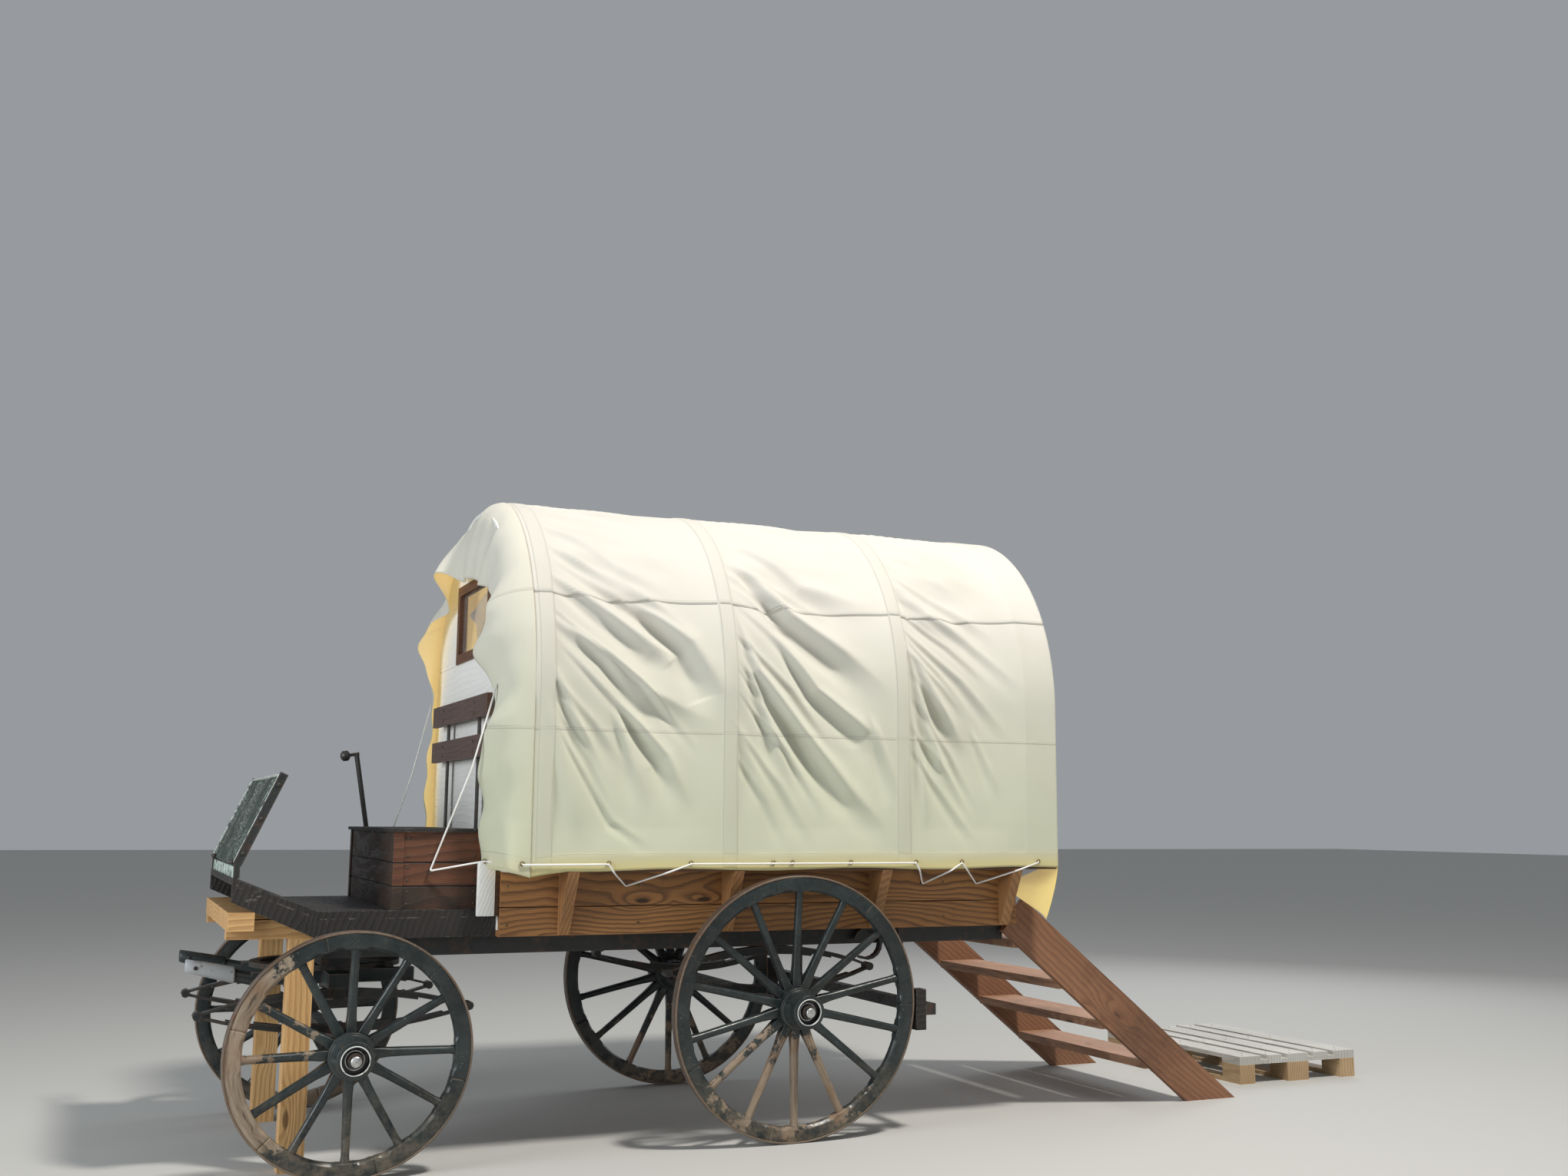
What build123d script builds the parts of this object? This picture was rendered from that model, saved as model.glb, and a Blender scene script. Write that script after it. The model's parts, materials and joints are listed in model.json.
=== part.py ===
from build123d import *
import math
import os

os.makedirs("parts", exist_ok=True)

# Covered wagon with spring undercarriage, bowed cloth top, front seat box,
# rear steps and a landing pallet. Millimetres, +X forward, +Y to the wagon's
# left, +Z up. Stations along the wagon are measured from the rear axle.

# Wheels
REAR_WHEEL_D = 1150.0
FRONT_WHEEL_D = 950.0
REAR_SPOKES = 14
FRONT_SPOKES = 12
RIM_WIDTH = 52.0
FELLOE_WIDTH = 48.0
RIM_DEPTH = 62.0
TYRE_THICK = 8.0
SPOKE_ROOT = 40.0
SPOKE_TIP = 30.0
SPOKE_OVAL = 0.6
NAVE_D = 175.0
NAVE_LENGTH = 250.0
# along the nave and radius at each end of a step, as shares of its length and width
NAVE_STEPS = (
    (-0.50, 0.36, -0.22, 0.42),
    (-0.22, 0.50, 0.14, 0.50),
    (0.14, 0.46, 0.42, 0.36),
    (0.42, 0.41, 0.54, 0.41),
)
HUB_RECESS_D = 104.0
HUB_RECESS = 26.0
HUB_BORE_D = 60.0
DISH = 24.0
CAMBER = 2.5
REAR_TRACK = 1680.0
FRONT_TRACK = 1700.0
WHEELBASE = 1910.0
RUN_FIT = 0.05
AXLE_BEAM = 52.0

# Body
BODY_FRONT = 1305.0
BODY_REAR = -1225.0
BODY_WIDTH = 1400.0
FLOOR_Z = 900.0
PLANK_LOW = 119.0
PLANK_HIGH = 147.0
PLANK_GAP = 3.0
PLANK_THICK = 28.0
FLOOR_THICK = 26.0
KNEE_FLARE = 150.0
KNEE_THICK = 48.0
KNEE_X = (1030.0, 282.0, -450.0, -1150.0)
KNEE_ROOT = 14.0
LEDGE_THICK = 26.0

# Cover
HEM_Z = 1195.0
COVER_DRAPE = 8.0
SPRING_LINE_Z = 1940.0
ROOF_RISE = 940.0
COVER_THICK = 5.0
COVER_CREASE = 1220.0
COVER_FRONT = 1335.0
HOOD_TAPER = 60.0
FLANGE = 215.0
COVER_REAR = -1372.0
BOW_WIDTH = 44.0
BOW_DEPTH = 20.0
BOW_FLATS = 24
BOW_X = (1165.0, 330.0, -535.0, -1340.0)
LATH_SIZE = 24.0
LATH_WIDTH = 40.0
LATH_SEAT = 2.0
LATH_ANGLES = (-44.0, 0.0, 44.0)
WALL_THICK = 26.0
WALL_SEAMS = (1445.0, 2125.0)
WINDOW_HALF = 340.0
WINDOW_Z = 2130.0
WINDOW_HEIGHT = 380.0
WINDOW_FRAME = 45.0
DOOR_HALF = 330.0
DOOR_TOP = 2480.0
DOOR_GAP = 6.0
DOOR_STILE = 110.0
DOOR_LIGHT = 500.0
DOOR_HEAD = 120.0
PANE_THICK = 4.0
HINGE_OUT = 9.0
HINGE_Z = (1150.0, 2200.0)

# Front platform, seat and dash
PLATFORM_OVERHANG = 125.0
PLATFORM_HALF = 640.0
DECK_THICK = 30.0
FASCIA_DEPTH = 82.0
FOOT_REACH = 330.0
FOOT_RISE = 135.0
FOOT_THICK = 28.0
CHEEK_DEPTH = 66.0
CHEEK_THICK = 40.0
DASH_HEIGHT = 390.0
DASH_LEAN = 24.0
DASH_THICK = 22.0
DASH_HALF = 610.0
DASH_RAISE = 52.0
SEAT_GAP = 67.0
SEAT_DEPTH = 360.0
SEAT_HALF = 600.0
SEAT_TOP = 1345.0
SEAT_BOARD = 22.0
SEAT_POST = 36.0
SEAT_PROUD = 5.0
SEAT_SEAMS = (1109.0, 1207.0)
SEAT_SEAM = 3.0
LID_THICK = 14.0
LID_OVER = 16.0
LID_INSET = 4.0
LID_BARREL_R = 7.0
LID_PIN_R = 3.5
LID_BARREL = 40.0
LID_HINGE_Y = 400.0
BACK_TOP = 1930.0
SLAT_HEIGHT = 98.0
SLAT_GAP = 76.0
SLAT_THICK = 24.0
SLAT_HALF = 585.0
BACK_IRON_Y = 330.0

# Chassis and running gear
SILL_DEPTH = 78.0
SILL_WIDTH = 62.0
SILL_Y = 540.0
CROSS_INSET = 45.0
CROSS_WIDTH = 70.0
FRONT_SPRING_Y = 440.0
REAR_SPRING_Y = 540.0
FRONT_SPRING_LENGTH = 1090.0
REAR_SPRING_LENGTH = 1000.0
SPRING_WIDTH = 50.0
LEAF_THICK = 9.0
LEAVES = 4
LEAF_SPACE = 1.5
STRAP_LONG = 46.0
STRAP_HIGH = 44.0
STRAP_OVER = 7.0
EYE_R = 19.0
EYE_OVER = 5.0
SHAFT_REACH = 590.0
SHAFT_TAIL = 340.0
SHAFT_Y = 250.0
SHAFT_WIDTH = 54.0
SHAFT_RISE = 52.0
SHAFT_TIP = 44.0
POLE_PIN_D = 18.0
POLE_PIN_BACK = 38.0
SCROLL_X = -470.0
SCROLL_R = 64.0
SCROLL_BAR = 12.0
SCROLL_WIDTH = 38.0
TABLE_OUTER_D = 640.0
TABLE_SIDES = 32
TABLE_BAND = 44.0
TABLE_THICK = 10.0
KINGPIN_D = 40.0
TABLE_DROP = 62.0
TABLE_GAP = 1.0
BOLSTER_DEEP = 60.0
BOLSTER_HALF = 45.0
BOLSTER_OVER = 35.0
BRAKE_AHEAD = 228.0
CRANK_LENGTH = 704.0
CRANK_LEAN = 10.0
CRANK_ARM = 42.0
CRANK_ROD = 12.0
CRANK_FOOT = 14.0
KNOB_R = 25.0
SHOE_GAP = 8.0
SHOE_DEEP = 50.0
SHOE_HALF = 30.0
SHOE_RISE = 90.0
BEAM_DEEP = 50.0
BEAM_HALF = 25.0
BEAM_DROP = 30.0
BEAM_IRON = 26.0
BEAM_IRON_THICK = 8.0
BEAM_IRON_GAP = 10.0

# Props, stairs and pallet
POST_SIZE = 100.0
POST_AHEAD = 175.0
POST_INSET = 80.0
STAIR_HALF = 625.0
STAIR_ANGLE = 39.0
STAIR_DROP = 32.0
TREAD_RISE = 205.0
STRINGER_WIDTH = 190.0
STRINGER_THICK = 40.0
TREADS = 4
TREAD_DEPTH = 235.0
TREAD_THICK = 40.0
PALLET_LONG = 1200.0
PALLET_SHORT = 800.0
PALLET_HEIGHT = 144.0
PALLET_NEAR_Y = 330.0
PALLET_FRONT_X = -2860.0
CLEAR = 0.3

REAR_R = REAR_WHEEL_D / 2
FRONT_R = FRONT_WHEEL_D / 2
LEAN = math.radians(CAMBER)
REAR_AXLE_Z = REAR_R * math.cos(LEAN) + RIM_WIDTH / 2 * math.sin(LEAN)
FRONT_AXLE_Z = FRONT_R * math.cos(LEAN) + RIM_WIDTH / 2 * math.sin(LEAN)
SILL_BOTTOM = FLOOR_Z - SILL_DEPTH
LEDGE_Z = FLOOR_Z + PLANK_LOW + PLANK_GAP + PLANK_HIGH
PLATFORM_FRONT = WHEELBASE + PLATFORM_OVERHANG
SEAT_REAR = BODY_FRONT + SEAT_GAP
BRAKE_X = SEAT_REAR + BRAKE_AHEAD
POST_X = WHEELBASE + POST_AHEAD
POST_Y = PLATFORM_HALF - POST_INSET
SHAFT_FRONT = WHEELBASE + SHAFT_REACH
X_SHIFT = -(SHAFT_FRONT + PALLET_FRONT_X - PALLET_SHORT) / 2


def put(node, *solids):
    """Write the solids of one piece, moved into the wagon's own frame."""
    parts = []
    for solid in solids:
        for piece in solid.solids():
            parts.append(piece.moved(Location((X_SHIFT, 0, 0))))
    shape = parts[0] if len(parts) == 1 else Compound(children=parts)
    shape.label = node
    export_step(shape, f"parts/{node}.step")


def block(x0, x1, y0, y1, z0, z1):
    """A box between two corners."""
    centre = ((x0 + x1) / 2, (y0 + y1) / 2, (z0 + z1) / 2)
    return Pos(*centre) * Box(abs(x1 - x0), abs(y1 - y0), abs(z1 - z0))


def mirrored(solid):
    """The same solid on the other side of the wagon's middle plane."""
    return mirror(solid, about=Plane.XZ)


def side_profile(points, y0, y1):
    """Outline in the X-Z plane, carried across from y0 to y1."""
    face = make_face(Polyline(*[(x, 0, z) for x, z in points], close=True))
    return Pos(0, min(y0, y1), 0) * extrude(face, abs(y1 - y0), dir=(0, 1, 0))


def corner_ring(plane, sides, half_x, half_y=None):
    """Corners of a polygon on a plane, with the middle of one flat on its y axis."""
    half_y = half_x if half_y is None else half_y
    turns = [math.pi / 2 + 2 * math.pi * (i + 0.5) / sides for i in range(sides)]
    return [plane.from_local_coords((half_x * math.cos(t), half_y * math.sin(t), 0)) for t in turns]


def across_flats(plane, sides, width):
    """Corners of a regular polygon of one width between opposite flats."""
    return corner_ring(plane, sides, width / 2 / math.cos(math.pi / sides))


def frustum(*rings):
    """A solid with flat sides through rings of corners, one above the next."""
    faces = [Face(Wire.make_polygon(ring)) for ring in (rings[0], rings[-1])]
    for low, high in zip(rings, rings[1:]):
        for i in range(len(low)):
            faces.append(Face(Wire.make_polygon([low[i - 1], low[i], high[i], high[i - 1]])))
    return Solid(Shell(faces))


# Wheels: sawn felloes on turned spokes, an iron tyre shrunk on, and a stepped
# nave with a bore that runs on the axle arm. Built about the Y axis with the
# outer face towards +Y.
def wheel_ring(outer, inner, width, spokes, inner_flats):
    """A ring of short flats, four to a spoke outside, standing on the middle of one."""
    faces = []
    for radius, flats in ((outer, 4 * spokes), (inner, inner_flats * spokes)):
        faces.append(RegularPolygon(radius, flats, major_radius=False, rotation=180 / flats))
    return extrude(Plane.XZ * (faces[0] - faces[1]), width / 2, both=True)


def wheel_pieces(radius, spokes):
    rim_out = radius - TYRE_THICK
    rim_in = rim_out - RIM_DEPTH
    tyre = wheel_ring(radius, rim_out, RIM_WIDTH, spokes, 4)
    wood = wheel_ring(rim_out - CLEAR, rim_in, FELLOE_WIDTH, spokes, 2)
    for y0, r0, y1, r1 in NAVE_STEPS:
        low = across_flats(Plane.XZ.offset(-NAVE_LENGTH * y0), spokes, 2 * NAVE_D * r0)
        high = across_flats(Plane.XZ.offset(-NAVE_LENGTH * y1), spokes, 2 * NAVE_D * r1)
        wood = wood + frustum(low, high)
    root_r = NAVE_D / 2 - 6
    tip_r = rim_in + 4
    slope = math.atan2(DISH, tip_r - root_r)
    length = math.hypot(DISH, tip_r - root_r)
    root = Plane((0, -DISH, root_r), x_dir=(1, 0, 0), z_dir=(0, math.sin(slope), math.cos(slope)))
    spoke = frustum(
        corner_ring(root, 6, SPOKE_ROOT / 2, SPOKE_ROOT * SPOKE_OVAL),
        corner_ring(root.offset(length), 6, SPOKE_TIP / 2, SPOKE_TIP * SPOKE_OVAL),
    )
    for i in range(spokes):
        wood = wood + spoke.rotate(Axis.Y, 360.0 * i / spokes)
    bore = extrude(Plane.XZ * Circle(HUB_BORE_D / 2), NAVE_LENGTH, both=True)
    mouth = Plane.XZ.offset(-NAVE_LENGTH * NAVE_STEPS[-1][2])
    recess = RegularPolygon(HUB_RECESS_D / 2, spokes, major_radius=False, rotation=180 / spokes)
    recess = extrude(mouth * recess, HUB_RECESS)
    return wood - bore - recess, tyre


def place_wheel(solid, x, y, z, side):
    """Stand a wheel on its leaning arm; side is +1 on the left, -1 on the right."""
    if side < 0:
        solid = mirrored(solid)
    leaned = solid.rotate(Axis.X, -CAMBER * side)
    return Pos(x, y * side, z) * leaned


WHEELS = (
    # name, radius, spokes, station, half track, axle height
    ("rear", REAR_R, REAR_SPOKES, 0.0, REAR_TRACK / 2, REAR_AXLE_Z),
    ("front", FRONT_R, FRONT_SPOKES, WHEELBASE, FRONT_TRACK / 2, FRONT_AXLE_Z),
)
for name, radius, spokes, station, half_track, axle_z in WHEELS:
    wood, tyre = wheel_pieces(radius, spokes)
    for side, word in ((1, "left"), (-1, "right")):
        put(f"{name}_wheel_{word}", place_wheel(wood, station, half_track, axle_z, side))
        put(f"{name}_tyre_{word}", place_wheel(tyre, station, half_track, axle_z, side))


# Axles: a square forged beam between two round arms that droop with the camber.
def axle(station, half_track, axle_z):
    inner = half_track - NAVE_LENGTH / 2 - 8
    drop = math.tan(LEAN) * (half_track - inner)
    beam_z = axle_z + drop
    half = AXLE_BEAM / 2
    beam = block(station - half, station + half, -inner, inner, beam_z - half, beam_z + half)
    shaft = Plane.XZ * Circle(HUB_BORE_D / 2 - RUN_FIT)
    arm = extrude(shaft, NAVE_LENGTH / 2 + 6, both=True)
    collar = extrude(Plane.XZ * RegularPolygon(HUB_BORE_D / 2 + 12, 12), 10)
    collar = Pos(0, -NAVE_LENGTH / 2 - 6, 0) * collar
    nut = Pos(0, NAVE_LENGTH / 2 + 5, 0) * extrude(Plane.XZ * RegularPolygon(HUB_BORE_D / 2 - 4, 6), -20)
    solid = beam
    for side in (1, -1):
        solid = solid + place_wheel(arm + collar + nut, station, half_track, axle_z, side)
    return solid, beam_z + half


rear_axle, rear_seat = axle(0.0, REAR_TRACK / 2, REAR_AXLE_Z)
front_axle, front_seat = axle(WHEELBASE, FRONT_TRACK / 2, FRONT_AXLE_Z)
put("rear_axle", rear_axle)
put("front_axle", front_axle)


# Full elliptic springs: two bowed packs of leaves joined by rolled eyes.
def leaf_pack(reach, rise):
    """Half a spring seen from the side, stepped where each shorter leaf ends."""
    def at(x, leaf):
        return (x, 0, rise * (1 - (x / reach) ** 2) - leaf * LEAF_THICK)

    ends = [reach * (1.0 - 0.2 * i) for i in range(LEAVES)]
    last = LEAVES - 1
    line = [at(reach * (1 - i / 6), -1) for i in range(13)]
    for i in range(last):
        line += [at(-ends[i], i), at(-ends[i + 1], i)]
    line += [at(ends[last] * x, last) for x in (-1, -0.5, 0, 0.5, 1)]
    for i in reversed(range(last)):
        line += [at(ends[i + 1], i), at(ends[i], i)]
    return extrude(make_face(Polyline(*line, close=True)), SPRING_WIDTH / 2, both=True)


def elliptic(station, y, z0, z1, length):
    """A spring between two seats, clipped at its middles and pinned at its eyes."""
    reach = length / 2
    pack = leaf_pack(reach, (z1 - z0) / 2 - LEAF_THICK - LEAF_SPACE)
    strap = Pos(0, 0, (z1 - z0 - STRAP_HIGH) / 2) * Box(STRAP_LONG, SPRING_WIDTH + 2 * STRAP_OVER, STRAP_HIGH)
    half = pack + strap
    solid = half + mirror(half, about=Plane.XY)
    for end in (-1, 1):
        eye = extrude(Plane.XZ * RegularPolygon(EYE_R, 8), SPRING_WIDTH / 2 + EYE_OVER, both=True)
        solid = solid + Pos(end * reach, 0, 0) * eye
    return Pos(station, y, (z0 + z1) / 2) * solid


TABLE_Z = SILL_BOTTOM - TABLE_DROP
BOLSTER_TOP = TABLE_Z - TABLE_THICK - TABLE_GAP
BOLSTER_BOTTOM = BOLSTER_TOP - BOLSTER_DEEP
front_springs = [
    elliptic(WHEELBASE, side * FRONT_SPRING_Y, front_seat, BOLSTER_BOTTOM, FRONT_SPRING_LENGTH)
    for side in (1, -1)
]
rear_springs = [
    elliptic(0.0, side * REAR_SPRING_Y, rear_seat, SILL_BOTTOM, REAR_SPRING_LENGTH)
    for side in (1, -1)
]
put("front_springs", *front_springs)
put("rear_springs", *rear_springs)

# Fore-carriage: bolster on the springs, lower ring, and the shaft stubs.
bolster_end = FRONT_SPRING_Y + BOLSTER_OVER
bolster_rear, bolster_front = WHEELBASE - BOLSTER_HALF, WHEELBASE + BOLSTER_HALF
bolster = block(bolster_rear, bolster_front, -bolster_end, bolster_end, BOLSTER_BOTTOM, BOLSTER_TOP)
hole = Pos(WHEELBASE, 0, BOLSTER_BOTTOM) * Cylinder(KINGPIN_D / 2 + RUN_FIT, 4 * BOLSTER_DEEP)
ring_r = TABLE_OUTER_D / 2
ring_face = RegularPolygon(ring_r, TABLE_SIDES) - RegularPolygon(ring_r - TABLE_BAND, TABLE_SIDES)
lower_ring = Pos(WHEELBASE, 0, BOLSTER_TOP) * extrude(ring_face, TABLE_THICK)
put("bolster", bolster - hole)
put("turntable_lower", lower_ring)
shaft_bend = WHEELBASE + TABLE_OUTER_D / 2 + 10
shaft_low = BOLSTER_BOTTOM + 4
shaft_deep = BOLSTER_TOP - shaft_low
pin_z = BOLSTER_TOP + SHAFT_RISE - SHAFT_TIP / 2
pin_x = SHAFT_FRONT - POLE_PIN_BACK
shafts = []
for side in (1, -1):
    y = side * SHAFT_Y
    half = SHAFT_WIDTH / 2
    tail = WHEELBASE - SHAFT_TAIL
    shafts.append(block(tail, WHEELBASE - 45, y - half, y + half, shaft_low, BOLSTER_TOP))
    bar = block(WHEELBASE + 45, shaft_bend, y - half, y + half, shaft_low, BOLSTER_TOP)
    root = Plane((shaft_bend, y, BOLSTER_TOP - shaft_deep / 2), x_dir=(0, 1, 0), z_dir=(1, 0, 0))
    tip = Plane((SHAFT_FRONT, y, pin_z), x_dir=(0, 1, 0), z_dir=(1, 0, 0))
    bar = bar + frustum(across_flats(root, 8, shaft_deep), across_flats(tip, 8, SHAFT_TIP))
    bar = bar - Pos(pin_x, y, pin_z) * extrude(Plane.XZ * Circle(POLE_PIN_D / 2), SHAFT_WIDTH, both=True)
    shafts.append(bar)
put("futchells", *shafts)

# Fixed half of the turntable with the king pin under the front cross member.
upper = Pos(WHEELBASE, 0, TABLE_Z) * extrude(ring_face, TABLE_THICK)
head = block(WHEELBASE - 60, WHEELBASE + 60, -ring_r, ring_r, TABLE_Z + TABLE_THICK, SILL_BOTTOM)
pin_foot = BOLSTER_BOTTOM - 40
pin = Pos(WHEELBASE, 0, pin_foot) * extrude(Circle(KINGPIN_D / 2), TABLE_Z + TABLE_THICK + 20 - pin_foot)
put("turntable_upper", upper + head + pin)

# Chassis: two long sills and five cross members under the floor.
sills = None
for side in (1, -1):
    y = side * SILL_Y
    half = SILL_WIDTH / 2
    sill = block(BODY_REAR, PLATFORM_FRONT - 40, y - half, y + half, SILL_BOTTOM, FLOOR_Z)
    sills = sill if sills is None else sills + sill
crosses = (BODY_REAR + CROSS_INSET, 0.0, BODY_FRONT / 2, BODY_FRONT - CROSS_INSET, WHEELBASE)
for x in crosses:
    sills = sills + block(x - CROSS_WIDTH / 2, x + CROSS_WIDTH / 2, -SILL_Y, SILL_Y, SILL_BOTTOM, FLOOR_Z)
put("chassis_frame", sills)

# Scroll irons: flat bar bent to an open loop, bolted outside the sills behind
# the rear axle.
loop_z = FLOOR_Z - SCROLL_R - SCROLL_BAR
scrolls = []
for side in (1, -1):
    y = side * (SILL_Y + SILL_WIDTH / 2 + SCROLL_WIDTH / 2)
    ring = RegularPolygon(SCROLL_R + SCROLL_BAR, 16) - RegularPolygon(SCROLL_R, 16)
    loop = extrude(Plane.XZ * ring, SCROLL_WIDTH / 2, both=True)
    mouth = Box(SCROLL_R * 2, 2 * SCROLL_WIDTH, SCROLL_R * 1.2)
    loop = loop - Pos(SCROLL_R * 1.3, 0, -SCROLL_R * 0.3) * mouth
    scrolls.append(Pos(SCROLL_X, y, loop_z) * loop)
put("scroll_irons", *scrolls)

# Body: floor, two planks a side, tapering knees and the ledge they carry.
half_body = BODY_WIDTH / 2
inner_y = half_body - PLANK_THICK
put("floor", block(BODY_REAR, BODY_FRONT, -inner_y, inner_y, FLOOR_Z, FLOOR_Z + FLOOR_THICK))
plank_top = LEDGE_Z
knees = []
ledges = []
for side, word in ((1, "left"), (-1, "right")):
    seam_z = FLOOR_Z + PLANK_LOW
    low = block(BODY_REAR, BODY_FRONT, side * inner_y, side * half_body, FLOOR_Z, seam_z)
    high = block(BODY_REAR, BODY_FRONT, side * inner_y, side * half_body, seam_z + PLANK_GAP, plank_top)
    put(f"side_planks_{word}", low, high)
    outline = [
        (half_body, FLOOR_Z + 4),
        (half_body + KNEE_ROOT, FLOOR_Z + 4),
        (half_body + KNEE_FLARE, plank_top),
        (half_body, plank_top),
    ]
    face = make_face(Polyline(*[(0, y, z) for y, z in outline], close=True))
    for x in KNEE_X:
        knee = Pos(x - KNEE_THICK / 2, 0, 0) * extrude(face, KNEE_THICK, dir=(1, 0, 0))
        knees.append(knee if side > 0 else mirrored(knee))
    ledge_out = half_body + KNEE_FLARE
    ledge = (COVER_REAR + 10, BODY_FRONT - WALL_THICK, side * inner_y, side * ledge_out)
    ledges.append(block(*ledge, plank_top, plank_top + LEDGE_THICK))
put("knees", *knees)
put("ledges", *ledges)


# Arch of the cover: straight legs that hang outside the ledges, and an elliptic crown.
cover_half = half_body + KNEE_FLARE + COVER_DRAPE


def arch_face(inset, foot_z):
    half = cover_half - inset
    crown = Pos(0, SPRING_LINE_Z) * Ellipse(half, ROOF_RISE - inset)
    crown = crown & Pos(0, SPRING_LINE_Z + ROOF_RISE) * Rectangle(4 * half, 2 * ROOF_RISE)
    legs = Pos(0, (SPRING_LINE_Z + foot_z) / 2) * Rectangle(2 * half, SPRING_LINE_Z - foot_z)
    return Plane.YZ * (crown + legs)


def arch_shell(x0, x1, inset, thick, foot_z):
    outer = extrude(arch_face(inset, foot_z), x1 - x0)
    inner = extrude(arch_face(inset + thick, foot_z - 1), x1 - x0)
    return Pos(x0, 0, 0) * (outer - inner)


bow_inset = COVER_THICK + CLEAR
bow_foot = plank_top + LEDGE_THICK


def bow_line(inset):
    """One edge of a bow: two upright legs joined by a crown of short flats."""
    points = []
    rise = ROOF_RISE - inset
    for i in range(BOW_FLATS + 1):
        t = math.pi * i / BOW_FLATS
        points.append(((cover_half - inset) * math.cos(t), SPRING_LINE_Z + rise * math.sin(t)))
    return [(cover_half - inset, bow_foot)] + points + [(inset - cover_half, bow_foot)]


bow_outline = bow_line(bow_inset) + bow_line(bow_inset + BOW_DEPTH)[::-1]
bow_face = make_face(Polyline(*[(0, y, z) for y, z in bow_outline], close=True))
bows = [Pos(x - BOW_WIDTH / 2, 0, 0) * extrude(bow_face, BOW_WIDTH, dir=(1, 0, 0)) for x in BOW_X]
put("bows", *bows)

# Cover: straight over the bows, then drawn in past the front bow to its hood,
# with a flange turned in at both ends.
cover = arch_shell(COVER_REAR, COVER_CREASE, 0, COVER_THICK, HEM_Z)
hood = []
for inset, foot in ((0, HEM_Z), (COVER_THICK, HEM_Z - 1)):
    crease = Pos(COVER_CREASE, 0, 0) * arch_face(inset, foot)
    mouth = Pos(COVER_FRONT, 0, 0) * arch_face(inset + HOOD_TAPER, foot)
    hood.append(loft([crease, mouth], ruled=True))
cover = cover + (hood[0] - hood[1])
cover = cover + arch_shell(COVER_REAR, COVER_REAR + COVER_THICK, 0, FLANGE, HEM_Z)
cover = cover + arch_shell(COVER_FRONT - COVER_THICK, COVER_FRONT, HOOD_TAPER, FLANGE, HEM_Z)
put("canvas_cover", cover)

# Laths along the roof, let in under the bows.
laths = []
lath_slots = []
for angle in LATH_ANGLES:
    t = math.radians(angle)
    half = cover_half - bow_inset - BOW_DEPTH
    rise = ROOF_RISE - bow_inset - BOW_DEPTH
    turn = math.atan2(rise * math.sin(t), half * math.cos(t))
    deep = LATH_SIZE / 2 + LATH_SEAT
    y = half * math.sin(t) - deep * math.sin(turn)
    z = SPRING_LINE_Z + rise * math.cos(t) - deep * math.cos(turn)
    at = Pos((BOW_X[0] + BOW_X[-1]) / 2, y, z) * Rot(X=-math.degrees(turn))
    laths.append(at * Box(BOW_X[0] - BOW_X[-1] + BOW_WIDTH, LATH_WIDTH, LATH_SIZE))
    lath_slots.append(at * Box(4000, LATH_WIDTH + 1, LATH_SIZE + 1))
put("roof_laths", *laths)

# Front wall of three boarded panels with a window, and the rear wall with its door.
wall_inset = COVER_THICK + 2 * CLEAR
front_inset = HOOD_TAPER + CLEAR
wall_foot = FLOOR_Z + FLOOR_THICK


def wall(x0, inset, foot):
    return Pos(x0, 0, 0) * extrude(arch_face(inset, foot), WALL_THICK)


front_x = BODY_FRONT - WALL_THICK
front_wall = wall(front_x, front_inset, plank_top)
front_wall = front_wall + block(front_x, BODY_FRONT, -inner_y, inner_y, wall_foot, plank_top + LEDGE_THICK)
window = (-WINDOW_HALF, WINDOW_HALF, WINDOW_Z, WINDOW_Z + WINDOW_HEIGHT)
front_wall = front_wall - block(front_x - 5, BODY_FRONT + 5, *window)
for z in WALL_SEAMS:
    front_wall = front_wall - block(BODY_FRONT - 4, BODY_FRONT + 1, -cover_half, cover_half, z - 2, z + 2)
put("front_wall", front_wall)
sight_y = WINDOW_HALF - WINDOW_FRAME
sight = (-sight_y, sight_y, WINDOW_Z + WINDOW_FRAME, WINDOW_Z + WINDOW_HEIGHT - WINDOW_FRAME)
frame = block(front_x - 8, BODY_FRONT + 8, *window)
put("window_frame", frame - block(front_x - 9, BODY_FRONT + 9, *sight))
put("window_glass", block(BODY_FRONT - 12 - PANE_THICK, BODY_FRONT - 12, *sight))

rear_wall = wall(BODY_REAR, wall_inset, plank_top + LEDGE_THICK)
wall_in = BODY_REAR + WALL_THICK
doorway = DOOR_HALF + DOOR_GAP
rear_wall = rear_wall + block(BODY_REAR, wall_in, -inner_y, inner_y, wall_foot, plank_top + LEDGE_THICK)
opening = (-doorway, doorway, wall_foot - 5, DOOR_TOP + DOOR_GAP)
rear_wall = rear_wall - block(BODY_REAR - 5, wall_in + 5, *opening)
for slot in lath_slots:
    rear_wall = rear_wall - slot
light_z = DOOR_TOP - DOOR_HEAD - DOOR_LIGHT
light = (-DOOR_HALF + DOOR_STILE, DOOR_HALF - DOOR_STILE, light_z, light_z + DOOR_LIGHT)
door = block(BODY_REAR, wall_in, -DOOR_HALF, DOOR_HALF, wall_foot + DOOR_GAP, DOOR_TOP)
door = door - block(BODY_REAR - 5, wall_in + 5, *light)
hinge_x = wall_in + HINGE_OUT
hinge_y = -DOOR_HALF - DOOR_GAP / 2
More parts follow.
